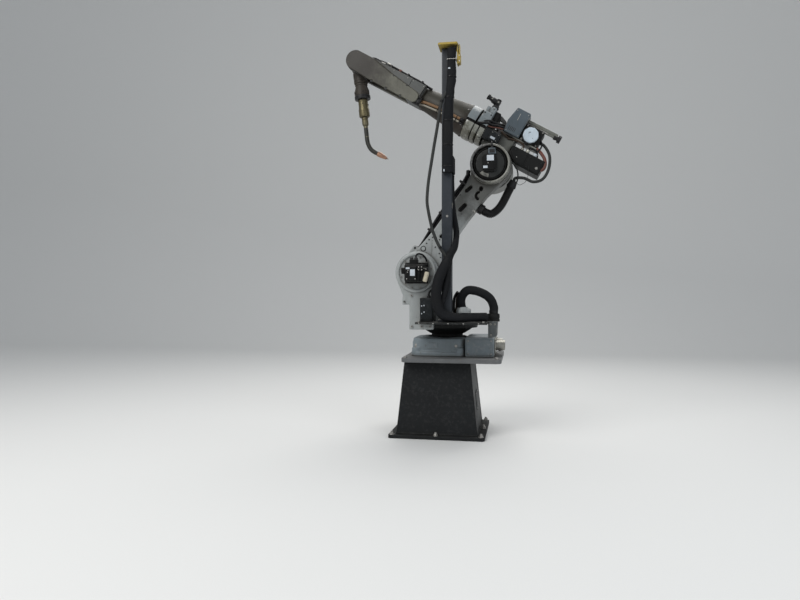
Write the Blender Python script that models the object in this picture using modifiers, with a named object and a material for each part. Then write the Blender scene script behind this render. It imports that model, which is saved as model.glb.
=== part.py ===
"""Six-axis arc welding robot arm on a tapered pedestal.

Metres, +Z up. The S (waist) axis is the world Z axis, the pedestal's foot
stands on z = 0, the arm reaches toward -X and the side with the shoulder
motor faces -Y.
"""

import math

import bmesh
import bpy
from mathutils import Matrix, Vector

# ---------------------------------------------------------------- dimensions
GAP = 0.0003            # between pieces that touch

PED_H = 0.480           # floor to the robot's base face
PED_BASE_T = 0.020
PED_TOP_T = 0.025
BASE_TOP = 0.595
TRAY_Z = 0.690
TRAY_T = 0.012

L_X, L_Z = -0.150, 0.985          # shoulder (L) axis
L_ARM = 0.760                     # shoulder to elbow
L_LEAN = math.radians(34.2)       # lower arm leans back from vertical
ELBOW_OFFSET = 0.200              # elbow axis to forearm centreline
FOREARM = 1.082                   # elbow foot point to wrist (B) axis
RISE = math.radians(29.4)         # forearm above horizontal
TORCH_TILT = math.radians(6.3)    # torch axis from straight down

ARM_NEAR, ARM_FAR = 0.235, 0.120  # lower arm's faces, from the waist plane
FORK_IN, FORK_OUT = 0.045, 0.090  # wrist fork

# --------------------------------------------------------------- clean start
for ob in list(bpy.data.objects):
    bpy.data.objects.remove(ob, do_unlink=True)

scene = bpy.context.scene
robot = bpy.data.collections.new("industrial_robot_arm")
forms = bpy.data.collections.new("cutters")
scene.collection.children.link(robot)
scene.collection.children.link(forms)


# ------------------------------------------------------------------ material
def material(name, rgb, metallic=0.0, roughness=0.5):
    m = bpy.data.materials.new(name)
    m.use_nodes = True
    bsdf = m.node_tree.nodes["Principled BSDF"]
    bsdf.inputs["Base Color"].default_value = (*rgb, 1.0)
    bsdf.inputs["Metallic"].default_value = metallic
    bsdf.inputs["Roughness"].default_value = roughness
    return m


CHARCOAL = (0.060, 0.064, 0.072)
BLUE_GREY = (0.36, 0.42, 0.47)
LIGHT_GREY = (0.50, 0.53, 0.53)
DIRTY_GREY = (0.30, 0.30, 0.27)
BLACK = (0.018, 0.018, 0.020)
RUBBER = (0.022, 0.022, 0.024)
DARK_GREY = (0.10, 0.11, 0.12)
WHITE = (0.72, 0.74, 0.76)
BRASS = (0.42, 0.34, 0.17)
STEEL = (0.45, 0.45, 0.44)
COPPER = (0.60, 0.33, 0.20)


# ----------------------------------------------------------- basic solids
def register(ob, coll=None):
    (coll or robot).objects.link(ob)
    return ob


def as_guide(ob):
    """Operand of a Boolean: kept beside the model, out of render."""
    for c in list(ob.users_collection):
        c.objects.unlink(ob)
    forms.objects.link(ob)
    ob.hide_render = True
    ob.display_type = "WIRE"
    return ob


def mesh_object(name, bm, frame):
    bmesh.ops.recalc_face_normals(bm, faces=bm.faces[:])
    me = bpy.data.meshes.new(name)
    bm.to_mesh(me)
    bm.free()
    ob = register(bpy.data.objects.new(name, me))
    ob.matrix_world = frame
    return ob


def box(name, lo, hi, frame=Matrix(), bevel=0.0, segments=2):
    lo, hi = Vector(lo), Vector(hi)
    bm = bmesh.new()
    bmesh.ops.create_cube(bm, size=1.0)
    bmesh.ops.scale(bm, vec=hi - lo, verts=bm.verts[:])
    bmesh.ops.translate(bm, vec=(lo + hi) / 2, verts=bm.verts[:])
    ob = mesh_object(name, bm, frame)
    if bevel:
        round_edges(ob, bevel, segments)
    return ob


def cylinder(name, p0, p1, r0, r1=None, sides=32, frame=Matrix()):
    p0, p1 = Vector(p0), Vector(p1)
    axis = p1 - p0
    bm = bmesh.new()
    bmesh.ops.create_cone(bm, cap_ends=True, segments=sides, radius1=r0,
                          radius2=r0 if r1 is None else r1, depth=axis.length)
    turn = Vector((0, 0, 1)).rotation_difference(axis).to_matrix().to_4x4()
    bmesh.ops.transform(bm, matrix=Matrix.Translation((p0 + p1) / 2) @ turn,
                        verts=bm.verts[:])
    ob = mesh_object(name, bm, frame)
    smooth(ob)
    return ob


def turned(name, profile, origin, axis, sides=40, frame=Matrix()):
    """Solid of revolution. profile is (radius, height) from the top of the
    axis, down the outside, back to the axis at the bottom."""
    me = bpy.data.meshes.new(name)
    bm = bmesh.new()
    vs = [bm.verts.new((r, 0.0, h)) for r, h in profile]
    for a, b in zip(vs, vs[1:]):
        bm.edges.new((a, b))
    if profile[0][0] > 0 and profile[-1][0] > 0:
        bm.edges.new((vs[-1], vs[0]))
    bm.to_mesh(me)
    bm.free()
    ob = register(bpy.data.objects.new(name, me))
    turn = Vector((0, 0, 1)).rotation_difference(Vector(axis)).to_matrix()
    ob.matrix_world = frame @ Matrix.Translation(origin) @ turn.to_4x4()
    sc = ob.modifiers.new("screw", "SCREW")
    sc.axis = "Z"
    sc.angle = math.tau
    sc.steps = sides
    sc.render_steps = sides
    sc.use_merge_vertices = True
    sc.merge_threshold = 0.00001
    sc.use_normal_calculate = False
    sc.use_smooth_shade = True
    return ob


def weld_curve(curve_ob):
    """Curve to one closed mesh object of the same name and place."""
    bpy.context.view_layer.update()
    deps = bpy.context.evaluated_depsgraph_get()
    me = bpy.data.meshes.new_from_object(curve_ob.evaluated_get(deps))
    bm = bmesh.new()
    bm.from_mesh(me)
    bmesh.ops.remove_doubles(bm, verts=bm.verts[:], dist=0.000005)
    bmesh.ops.recalc_face_normals(bm, faces=bm.faces[:])
    bm.to_mesh(me)
    bm.free()
    name, place = curve_ob.name, curve_ob.matrix_world.copy()
    bpy.data.objects.remove(curve_ob, do_unlink=True)
    me.name = name
    ob = register(bpy.data.objects.new(name, me))
    ob.matrix_world = place
    return ob


SIDE = Matrix.Rotation(math.pi / 2, 4, "X")     # curve plane to local X-Z


def slab(name, outlines, lo, hi, frame=Matrix(), plane="XZ", bevel=0.0):
    """Flat outline (and holes) between two faces. In plane XZ the faces are
    at y = lo and y = hi, in plane XY at z = lo and z = hi."""
    if not isinstance(outlines[0][0], (list, tuple)):
        outlines = [outlines]
    cu = bpy.data.curves.new(name, "CURVE")
    cu.dimensions = "2D"
    cu.fill_mode = "BOTH"
    cu.resolution_u = 1
    cu.render_resolution_u = 0
    cu.extrude = (hi - lo) / 2
    for pts in outlines:
        sp = cu.splines.new("POLY")
        sp.points.add(len(pts) - 1)
        for p, (a, b) in zip(sp.points, pts):
            p.co = (a, b, 0.0, 1.0)
        sp.use_cyclic_u = True
    ob = register(bpy.data.objects.new(name, cu))
    mid = (lo + hi) / 2
    if plane == "XZ":
        ob.matrix_world = frame @ Matrix.Translation((0, mid, 0)) @ SIDE
    else:
        ob.matrix_world = frame @ Matrix.Translation((0, 0, mid))
    ob = weld_curve(ob)
    if bevel:
        round_edges(ob, bevel)
    return ob


def spline(points, step):
    """Points on a smooth curve through the route's own points, whose first
    and last stretches are straight."""
    pts = [Vector(p) for p in points]
    out = []
    for i in range(len(pts) - 1):
        p0 = pts[i - 1] if i else pts[0] * 2 - pts[1]
        p1, p2 = pts[i], pts[i + 1]
        p3 = pts[i + 2] if i + 2 < len(pts) else pts[-1] * 2 - pts[-2]
        ends = i in (0, len(pts) - 2)
        n = 1 if ends else max(2, round((p2 - p1).length / step))
        for k in range(n):
            t = k / n
            out.append(0.5 * ((2 * p1) + (p2 - p0) * t
                              + (2 * p0 - 5 * p1 + 4 * p2 - p3) * t * t
                              + (3 * p1 - p0 - 3 * p2 + p3) * t ** 3))
    out.append(pts[-1])
    return out


def end_direction(points, step):
    pts = spline(points, step)
    return (pts[-1] - pts[-2]).normalized()


def hose(name, points, radius, step=None, res=2, frame=Matrix()):
    """Round hose along a route. A fourth value of a point is the radius there."""
    cu = bpy.data.curves.new(name, "CURVE")
    cu.dimensions = "3D"
    cu.resolution_u = 1
    cu.render_resolution_u = 0
    cu.bevel_depth = radius
    cu.bevel_resolution = res
    cu.use_fill_caps = True
    pts = spline(points, step or radius * 2.4)
    sp = cu.splines.new("POLY")
    sp.points.add(len(pts) - 1)
    for p, co in zip(sp.points, pts):
        p.co = (*co[:3], 1.0)
        if len(co) == 4:
            p.radius = co[3] / radius
    ob = register(bpy.data.objects.new(name, cu))
    ob.matrix_world = frame
    return ob


# -------------------------------------------------------------- modifiers
def round_edges(ob, width, segments=2):
    b = ob.modifiers.new("bevel", "BEVEL")
    b.width = width
    b.segments = segments
    b.limit_method = "ANGLE"
    b.angle_limit = math.radians(50)
    return ob


def smooth(ob):
    if ob.type == "MESH":
        ob.data.shade_smooth()
        ob.data.set_sharp_from_angle(angle=math.radians(35))
    return ob


def boolean(ob, other, how):
    m = ob.modifiers.new(how.lower(), "BOOLEAN")
    m.operation = how
    m.object = as_guide(other)
    m.solver = "EXACT"
    return ob


def joined(ob, *others):
    for o in others:
        boolean(ob, o, "UNION")
    return ob


def arc(cx, cz, r, a0, a1, n):
    return [(cx + r * math.cos(math.radians(a0 + (a1 - a0) * i / n)),
             cz + r * math.sin(math.radians(a0 + (a1 - a0) * i / n)))
            for i in range(n + 1)]


def rounded(x0, z0, x1, z1, r, n=4):
    return (arc(x1 - r, z1 - r, r, 0, 90, n) + arc(x0 + r, z1 - r, r, 90, 180, n)
            + arc(x0 + r, z0 + r, r, 180, 270, n)
            + arc(x1 - r, z0 + r, r, 270, 360, n))


# ------------------------------------------------------------------ frames
def frame_of(origin, x_axis, z_axis):
    x, z = Vector(x_axis).normalized(), Vector(z_axis).normalized()
    y = z.cross(x)
    m = Matrix((x, y, z)).transposed().to_4x4()
    m.translation = origin
    return m


SHOULDER = Vector((L_X, 0.0, L_Z))
ARM_DIR = Vector((math.sin(L_LEAN), 0.0, math.cos(L_LEAN)))
ELBOW = SHOULDER + L_ARM * ARM_DIR
REACH = Vector((-math.cos(RISE), 0.0, math.sin(RISE)))       # toward the wrist
LIFT = Vector((math.sin(RISE), 0.0, math.cos(RISE)))         # off the forearm
WRIST = ELBOW + ELBOW_OFFSET * LIFT + FOREARM * REACH
TORCH_DIR = Vector((math.sin(TORCH_TILT), 0.0, -math.cos(TORCH_TILT)))
TORCH_SIDE = Vector((math.cos(TORCH_TILT), 0.0, math.sin(TORCH_TILT)))

# local frames: x forward, y toward the near side (-Y), z up the piece
ARM = frame_of(SHOULDER, (-math.cos(L_LEAN), 0, math.sin(L_LEAN)), ARM_DIR)
UP = frame_of(ELBOW, REACH, LIFT)
TOOL = frame_of(WRIST, TORCH_SIDE, TORCH_DIR)


def pivot(name, at, parent=None):
    e = bpy.data.objects.new(name, None)
    e.empty_display_size = 0.15
    robot.objects.link(e)
    e.location = at
    bpy.context.view_layer.update()
    if parent:
        e.parent = parent
        e.matrix_parent_inverse = parent.matrix_world.inverted()
    bpy.context.view_layer.update()
    return e


waist = pivot("waist_axis", (0, 0, BASE_TOP))
shoulder = pivot("shoulder_axis", SHOULDER, waist)
elbow = pivot("elbow_axis", ELBOW, shoulder)
roll = pivot("forearm_roll_axis", ELBOW + ELBOW_OFFSET * LIFT + 0.2223 * REACH,
             elbow)
bend = pivot("wrist_bend_axis", WRIST, roll)
twist = pivot("torch_axis", WRIST + 0.1255 * TORCH_DIR, bend)


def carry(parent, mat, *obs):
    """Colour the pieces and hang them on their joint."""
    for ob in obs:
        ob.data.materials.clear()
        ob.data.materials.append(mat)
        if parent:
            place = ob.matrix_world.copy()
            ob.parent = parent
            ob.matrix_parent_inverse = parent.matrix_world.inverted()
            ob.matrix_world = place


# =============================================================== pedestal
base_plate = slab("pedestal_base_plate", rounded(-0.325, -0.290, 0.250, 0.290, 0.02),
                  0.0, PED_BASE_T, plane="XY")

bm = bmesh.new()
bmesh.ops.create_cube(bm, size=1.0)
z0, z1 = PED_BASE_T + GAP, PED_H - PED_TOP_T - GAP
for v in bm.verts:
    top = v.co.z > 0
    v.co = Vector((
        (0.158 if top else 0.205) if v.co.x > 0 else (-0.237 if top else -0.280),
        math.copysign(0.200 if top else 0.245, v.co.y),
        z1 if top else z0))
pedestal = mesh_object("pedestal_body", bm, Matrix())
round_edges(pedestal, 0.006)

top_plate = slab("pedestal_top_plate", rounded(-0.245, -0.300, 0.345, 0.300, 0.035),
                 PED_H - PED_TOP_T, PED_H, plane="XY")

# =================================================================== base
base = slab("base_casting", rounded(-0.209, -0.170, 0.125, 0.170, 0.060, 5),
            PED_H + GAP, BASE_TOP, plane="XY")
neck = cylinder("base_neck_form", (0, 0, BASE_TOP - 0.03), (0, 0, 0.6122), 0.098, sides=40)
front_flat = box("base_foot_form", (-0.215, -0.100, PED_H + GAP), (0.05, 0.100, 0.505))
joined(base, neck, front_flat)

rear_box = box("base_connector_box", (0.125 + GAP, -0.170, PED_H + GAP),
               (0.298, 0.170, 0.600), bevel=0.006)

plate = box("base_connectors", (0.298 + GAP, -0.120, 0.498), (0.306, 0.120, 0.586))
plugs = [cylinder("plug_form", (0.300, y, z), (0.300 + ln, y, z), r, sides=20)
         for y, z, r, ln in ((-0.080, 0.545, 0.030, 0.060), (0.000, 0.545, 0.030, 0.060),
                             (0.075, 0.560, 0.018, 0.042), (0.075, 0.520, 0.014, 0.030))]
joined(plate, *plugs)

carry(None, material("charcoal_paint", CHARCOAL, 0.0, 0.55), base_plate, pedestal)
carry(None, material("plate_grey", (0.20, 0.21, 0.22), 0.3, 0.5), top_plate)
carry(None, material("base_blue_grey", BLUE_GREY, 0.0, 0.42), base, rear_box)
carry(None, material("connector_metal", STEEL, 0.8, 0.4), plate)

# ================================================================= turret
turret = slab("turret_casting",
              [(-0.185, 0.680), (0.095, 0.680), (0.095, 0.740), (0.045, 0.768),
               (-0.035, 0.822), (-0.185, 0.822)], -0.2397, 0.140)
flange = turned("turret_flange_form",
                [(0.0, TRAY_Z - GAP), (0.190, TRAY_Z - GAP), (0.190, 0.650), (0.158, 0.648),
                 (0.138, 0.632), (0.104, 0.6125), (0.0, 0.6125)], (0, 0, 0), (0, 0, 1), 48)
web = box("turret_web_form", (-0.160, 0.060, 0.75), (0.02, 0.115, 0.860))
joined(turret, flange, web)

tray = slab("cable_tray",
            [(-0.133, -0.470), (0.272, -0.470), (0.272, -0.2403), (-0.020, -0.2403),
             (-0.020, -0.3003), (-0.133, -0.3003)],
            TRAY_Z, TRAY_Z + TRAY_T, plane="XY")

wedge = slab("tray_rear_bracket",
             [(0.2723, 0.706), (0.326, 0.706), (0.322, 0.622), (0.292, 0.610), (0.2723, 0.610)],
             -0.380, -0.246, bevel=0.004)
gland = turned("gland_form", [(0.0, 0.748), (0.034, 0.748), (0.036, 0.742), (0.036, 0.7026), (0.0, 0.7026)],
               (0.300, -0.300, 0.0), (0, 0, 1), 24)
joined(wedge, gland)

s_motor = box("s_axis_motor", (-0.119, -0.375, TRAY_Z + TRAY_T + GAP), (-0.044, -0.3003, 0.838),
              bevel=0.005)

bracket = slab("shoulder_bracket",
               arc(L_X, L_Z, 0.127, -35, 205, 28)
               + [(-0.232, 0.850), (-0.236, 0.830), (-0.236, 0.795), (-0.194, 0.795),
                  (-0.194, 0.649), (-0.051, 0.649), (-0.051, 0.688), (-0.030, 0.688),
                  (-0.030, 0.880)],
               -0.300, -0.240)
rim = turned("shoulder_rim_form", [(0.0, 0.314), (0.112, 0.314), (0.118, 0.306), (0.118, 0.290), (0.0, 0.290)],
             (L_X, 0, L_Z), (0, -1, 0), 40)
joined(bracket, rim)

l_motor = box("l_axis_motor", (-0.212, -0.338, 0.921), (-0.076, -0.3143, 1.043), bevel=0.006)
l_parts = [
    box("l_body_form", (-0.202, -0.420, 0.930), (-0.086, -0.330, 1.032), bevel=0.012),
    box("l_cap_form", (-0.190, -0.450, 0.938), (-0.112, -0.410, 1.022), bevel=0.010),
    box("l_top_form", (-0.176, -0.400, 1.020), (-0.128, -0.355, 1.062), bevel=0.005),
    box("l_side_form", (-0.095, -0.425, 0.955), (-0.062, -0.370, 1.015), bevel=0.006),
    box("l_left_form", (-0.222, -0.415, 0.975), (-0.195, -0.360, 1.012), bevel=0.004),
]
joined(l_motor, *l_parts)
l_plug = cylinder("l_motor_plug", (-0.064, -0.452, 0.986), (-0.080, -0.452, 0.930), 0.0135, sides=20)
l_stub = cylinder("l_plug_stub_form", (-0.072, -0.452, 0.958), (-0.072, -0.4253, 0.958), 0.010, sides=12)
joined(l_plug, l_stub)

mast = box("mast_tube", (0.010, -0.400, TRAY_Z + TRAY_T + GAP), (0.068, -0.342, 2.250),
           bevel=0.006)
mast_foot = box("mast_foot_form", (-0.012, -0.410, TRAY_Z + TRAY_T + GAP), (0.090, -0.330, 0.714))
joined(mast, mast_foot)

# sleeve: hoses in a bag on the front of the mast, leaning to the right as it
# rises; its foot wraps around the right side to the back
bm = bmesh.new()
rings = []
for z, xl, xr in ((1.545, 0.012, 0.074), (1.670, 0.014, 0.079), (1.800, 0.017, 0.081),
                  (1.910, 0.026, 0.082), (2.010, 0.037, 0.088), (2.060, 0.041, 0.097),
                  (2.105, 0.043, 0.098), (2.160, 0.044, 0.094), (2.235, 0.044, 0.097)):
    mid, half = (xl + xr) / 2, (xr - xl) / 2
    ring = [(mid + half, -0.4003), (mid - half, -0.4003)]
    ring += [(mid - half * math.cos(t), -0.412 - 0.042 * math.sin(t))
             for t in (math.radians(a) for a in range(0, 181, 20))]
    rings.append([bm.verts.new((x, y, z)) for x, y in ring])
for p, q in zip(rings, rings[1:]):
    for k in range(len(p)):
        j = (k + 1) % len(p)
        bm.faces.new((p[k], p[j], q[j], q[k]))
bm.faces.new(rings[0])
bm.faces.new(rings[-1])
sleeve = smooth(mesh_object("mast_sleeve", bm, Matrix()))
sleeve_foot = slab("sleeve_foot_form",
                   [(0.0683, -0.4003), (0.0683, -0.3417), (0.038, -0.3417), (0.037, -0.326),
                    (0.044, -0.3195), (0.072, -0.3195), (0.0805, -0.328), (0.081, -0.425),
                    (0.074, -0.442), (0.058, -0.446), (0.050, -0.425), (0.050, -0.4003)],
                   1.545, 1.640, plane="XY", bevel=0.004)
joined(sleeve, sleeve_foot)

head = box("mast_head_clamp", (-0.006, -0.462, 2.2503), (0.104, -0.326, 2.262), bevel=0.003)
head_ear = box("head_ear_form", (0.0985, -0.436, 2.146), (0.120, -0.384, 2.262), bevel=0.004)
joined(head, head_ear)

mast_hose = hose("mast_hose",
                 [(0.058, -0.3230, 1.5444, 0.0180), (0.058, -0.3230, 1.500, 0.0180),
                  (0.060, -0.3230, 1.400, 0.0180), (0.070, -0.3225, 1.318, 0.0180),
                  (0.081, -0.3230, 1.258, 0.0180), (0.0885, -0.335, 1.215, 0.0180),
                  (0.0895, -0.362, 1.175, 0.0180), (0.0890, -0.395, 1.145, 0.0185),
                  (0.0850, -0.4200, 1.120, 0.0200), (0.066, -0.4270, 1.090, 0.0235),
                  (0.042, -0.4325, 1.040, 0.0280), (0.014, -0.4370, 0.982, 0.0310),
                  (-0.006, -0.4400, 0.925, 0.0310), (-0.015, -0.4400, 0.862, 0.0310),
                  (-0.008, -0.4390, 0.800, 0.0310), (0.018, -0.4370, 0.748, 0.0300),
                  (0.080, -0.436, 0.7300, 0.0270), (0.150, -0.432, 0.7300, 0.0270),
                  (0.215, -0.415, 0.7300, 0.0270), (0.262, -0.385, 0.7300, 0.0270)],
                 0.031, step=0.055)

loop = hose("harness_loop",
            [(0.122, -0.298, 0.7026), (0.122, -0.298, 0.750), (0.114, -0.312, 0.830),
             (0.150, -0.325, 0.880), (0.216, -0.325, 0.874), (0.275, -0.312, 0.840),
             (0.300, -0.300, 0.790), (0.300, -0.300, 0.7486)], 0.026, step=0.050)

carry(waist, material("turret_light_grey", LIGHT_GREY, 0.0, 0.42), turret, bracket)
carry(waist, material("tray_dark", DARK_GREY, 0.2, 0.5), tray)
carry(waist, material("turret_blue_grey", BLUE_GREY, 0.0, 0.42), wedge, mast)
carry(waist, material("s_motor_grey", DARK_GREY, 0.0, 0.5), s_motor)
carry(waist, material("l_motor_black", BLACK, 0.0, 0.4), l_motor)
carry(waist, material("plug_cream", (0.62, 0.58, 0.45), 0.0, 0.5), l_plug)
carry(waist, material("sleeve_black", RUBBER, 0.0, 0.75), sleeve, mast_hose, loop)
carry(waist, material("clamp_yellow", (0.45, 0.36, 0.08), 0.0, 0.6), head)


# ============================================================== lower arm
ROOT_R, TOP_R = 0.116, 0.122
arm_outline = (
    arc(0, 0, ROOT_R, 35, -215, 24)
    + [(-0.086, 0.120), (-0.072, 0.200), (-0.068, 0.300), (-0.070, 0.420),
       (-0.078, 0.520), (-0.084, 0.600), (-0.100, 0.660)]
    + arc(0, L_ARM, TOP_R, 203, -28, 22)
    + [(0.068, 0.660), (0.058, 0.590), (0.060, 0.520), (0.064, 0.400),
       (0.066, 0.280), (0.076, 0.180)])
lower = slab("lower_arm_casting", arm_outline, ARM_FAR, ARM_NEAR, ARM)
lower_hub = cylinder("shoulder_hub_form", (0, ARM_FAR + 0.02, 0), (0, 0.2397, 0), 0.085,
                     sides=36, frame=ARM)
lug = box("lower_arm_lug_form", (0.050, 0.135, 0.060), (0.138, 0.222, 0.128), ARM, bevel=0.006)
joined(lower, lower_hub, lug)

collar = turned("u_axis_collar",
                [(0.101, 0.298), (0.108, 0.302), (0.114, 0.298), (0.116, 0.2353), (0.101, 0.2353)],
                (0, 0, L_ARM), (0, 1, 0), 44, frame=ARM)
u_motor = turned("u_axis_motor",
                 [(0.0, 0.312), (0.060, 0.312), (0.066, 0.306), (0.068, 0.292), (0.094, 0.288),
                  (0.0985, 0.280), (0.0985, 0.2353), (0.0, 0.2353)],
                 (0, 0, L_ARM), (0, 1, 0), 40, frame=ARM)


clamp = cylinder("conduit_gland", (-0.0812, 0.178, 0.520), (-0.1080, 0.178, 0.520), 0.031,
                 sides=24, frame=ARM)
conduit_start = ARM @ Vector((-0.1084, 0.178, 0.520))
conduit_route = [conduit_start, ARM @ Vector((-0.1260, 0.178, 0.520)),
                 (0.277, -0.178, 1.334), (0.308, -0.178, 1.350), (0.336, -0.178, 1.380),
                 (0.358, -0.178, 1.418), (0.376, -0.178, 1.455), (0.393, -0.178, 1.488)]
conduit = hose("elbow_conduit", conduit_route, 0.025, step=0.045, res=3)
end_dir = end_direction(conduit_route, 0.045)
cuff = cylinder("conduit_cuff", Vector(conduit_route[-1]) + 0.0003 * end_dir,
                Vector(conduit_route[-1]) + 0.042 * end_dir, 0.029, 0.022, sides=24)

carry(shoulder, material("lower_arm_grey", LIGHT_GREY, 0.0, 0.45), lower)
carry(shoulder, material("collar_grey", (0.42, 0.42, 0.38), 0.2, 0.45), collar)
carry(shoulder, material("u_motor_black", BLACK, 0.0, 0.38), u_motor)
carry(shoulder, material("conduit_black", RUBBER, 0.0, 0.6), clamp, conduit, cuff)

# ============================================================== upper arm
RZ = ELBOW_OFFSET
upper = slab("elbow_casting",
             arc(0, 0, 0.128, 52, -232, 34)
             + [(-0.040, 0.130), (-0.040, 0.228), (0.1497, 0.228), (0.1497, 0.126),
                (0.128, 0.104)],
             -0.105, 0.048, UP)
upper_boss = cylinder("elbow_boss_form", (0, -0.02, 0), (0, 0.113, 0), 0.128, sides=40, frame=UP)
upper_hub = cylinder("elbow_hub_form", (0, 0.05, 0), (0, ARM_FAR - GAP, 0), 0.085, sides=36, frame=UP)
far_cap = turned("elbow_far_cap_form",
                 [(0.0, 0.122), (0.085, 0.122), (0.092, 0.116), (0.092, 0.100), (0.0, 0.100)],
                 (0, 0, 0), (0, -1, 0), 36, frame=UP)
joined(upper, upper_boss, upper_hub, far_cap)

r_house = turned("r_axis_housing",
                 [(0.0, 0.222), (0.107, 0.222), (0.107, 0.196), (0.101, 0.190),
                  (0.101, 0.150), (0.0, 0.150)],
                 (0, 0, RZ), (1, 0, 0), 40, frame=UP)
r_pad = box("r_housing_pad_form", (0.150, -0.062, 0.250), (0.198, 0.062, 0.340), UP, bevel=0.006)
joined(r_house, r_pad)

r_motor = box("r_axis_motor", (0.046, 0.0483, 0.142), (0.1494, 0.112, 0.206), UP, bevel=0.006)

fit_base = cylinder("top_hose_fitting", (0.174, 0.010, 0.3403), (0.174, 0.010, 0.366), 0.023,
                    sides=16, frame=UP)
fit_body = cylinder("fitting_body_form", (0.160, 0.010, 0.376), (0.250, 0.010, 0.390), 0.019,
                    sides=16, frame=UP)
fit_nut = cylinder("fitting_nut_form", (0.174, 0.010, 0.360), (0.174, 0.010, 0.404), 0.015,
                   sides=6, frame=UP)
joined(fit_base, fit_body, fit_nut)

feeder_plate = slab("feeder_bracket",
                    [(-0.175, 0.2283), (0.100, 0.2283), (0.100, 0.2363), (0.052, 0.2363),
                     (-0.175, 0.2363)], -0.070, 0.066, UP)
feeder_box = slab("wire_feeder_box",
                  [(-0.048, 0.2366), (0.052, 0.2366), (0.061, 0.306), (0.044, 0.392),
                   (0.036, 0.397), (-0.042, 0.397), (-0.048, 0.391)], -0.062, 0.088, UP, bevel=0.004)
drive = box("wire_feeder_drive", (-0.172, -0.060, 0.2366), (-0.0483, 0.070, 0.344), UP, bevel=0.005)
disc = turned("wire_feeder_disc",
              [(0.0, 0.096), (0.042, 0.096), (0.0475, 0.091), (0.0475, 0.0703), (0.0, 0.0703)],
              (-0.106, 0, 0.285), (0, 1, 0), 32, frame=UP)
inlet = box("wire_feeder_inlet", (-0.272, 0.000, 0.3443), (-0.0483, 0.030, 0.374), UP, bevel=0.003)
inlet_nut = cylinder("inlet_nut_form", (-0.272, 0.015, 0.352), (-0.226, 0.015, 0.352), 0.024,
                     sides=16, frame=UP)
joined(inlet, inlet_nut)

rear_box2 = slab("rear_motor_box",
                 [(-0.0403, 0.134), (-0.0403, 0.188), (-0.262, 0.188), (-0.262, 0.092),
                  (-0.108, 0.092)], -0.085, 0.092, UP, bevel=0.006)

cuff_end = Vector(conduit_route[-1]) + 0.0425 * end_dir
feeder_hose = hose("feeder_hose",
                   [cuff_end, cuff_end + 0.018 * end_dir, (0.470, -0.172, 1.541),
                    (0.525, -0.158, 1.520), UP @ Vector((-0.300, 0.128, 0.085)),
                    UP @ Vector((-0.298, 0.090, 0.160)), UP @ Vector((-0.262, 0.048, 0.236)),
                    UP @ Vector((-0.205, 0.030, 0.276)), UP @ Vector((-0.1725, 0.030, 0.276))],
                   0.009, step=0.030)

carry(elbow, material("upper_arm_grey", (0.40, 0.42, 0.41), 0.0, 0.45), upper, r_house)
carry(elbow, material("r_motor_grey", DARK_GREY, 0.0, 0.45), r_motor)
carry(elbow, material("fitting_black", BLACK, 0.1, 0.5), fit_base, drive)
carry(elbow, material("feeder_blue_grey", (0.22, 0.27, 0.31), 0.0, 0.45), feeder_box)
carry(elbow, material("feeder_white", WHITE, 0.0, 0.45), disc)
carry(elbow, material("feeder_steel", STEEL, 0.7, 0.4), inlet, feeder_plate)
carry(elbow, material("rear_motor_black", BLACK, 0.0, 0.42), rear_box2)
carry(elbow, material("feeder_hose_grey", (0.12, 0.13, 0.13), 0.0, 0.6), feeder_hose)

# ================================================================ forearm
cone = turned("forearm_cone",
              [(0.0, 0.600), (0.066, 0.600), (0.103, 0.292), (0.108, 0.286), (0.108, 0.227),
               (0.070, 0.227), (0.070, 0.2223), (0.0, 0.2223)],
              (0, 0, RZ), (1, 0, 0), 40, frame=UP)
yoke = box("forearm_yoke", (0.6003, -FORK_OUT, RZ - 0.062), (0.700, FORK_OUT, RZ + 0.062), UP,
           bevel=0.010)


def beam_outline(x0):
    return ([(x0, RZ - 0.062)] + arc(FOREARM, RZ, 0.0625, -90, 90, 12) + [(x0, RZ + 0.062)])


near_beam = slab("forearm_near_beam", beam_outline(0.7003), FORK_IN, FORK_OUT, UP)
far_beam = slab("forearm_far_beam", beam_outline(0.7003), -FORK_OUT, -FORK_IN, UP)

# cover: full height at the wrist, its top edge falls toward the elbow and
# its lower edge is scalloped between four fixing points
cover_pts = arc(FOREARM, RZ, 0.0615, -100, 80, 14)
cover_pts += [(1.000, 0.2605), (0.820, 0.2250), (0.640, 0.2000), (0.618, 0.190),
              (0.612, 0.170), (0.616, 0.144), (0.632, 0.1320)]
for k in range(3):
    x = 0.7198 + k * 0.1035
    cover_pts += [(x - 0.020, 0.1310), (x - 0.008, 0.1400), (x + 0.008, 0.1400), (x + 0.020, 0.1310)]
cover = slab("forearm_cover", cover_pts, FORK_OUT + GAP, FORK_OUT + 0.009, UP)

torch_cable = hose("torch_cable",
                   [(0.7006, 0.000, 0.232), (0.722, 0.000, 0.232), (0.770, 0.000, 0.247),
                    (0.830, 0.000, 0.270),
                    (0.900, 0.000, 0.280), (0.970, 0.000, 0.276), (1.020, 0.000, 0.258),
                    (1.0465, 0.000, 0.2375)],
                   0.013, step=0.032, frame=UP)

carry(roll, material("forearm_grey", DIRTY_GREY, 0.0, 0.5), cone, yoke, near_beam, far_beam)
carry(roll, material("cover_grey", (0.34, 0.35, 0.31), 0.0, 0.5), cover)
carry(roll, material("torch_cable_black", RUBBER, 0.0, 0.6), torch_cable)

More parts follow.
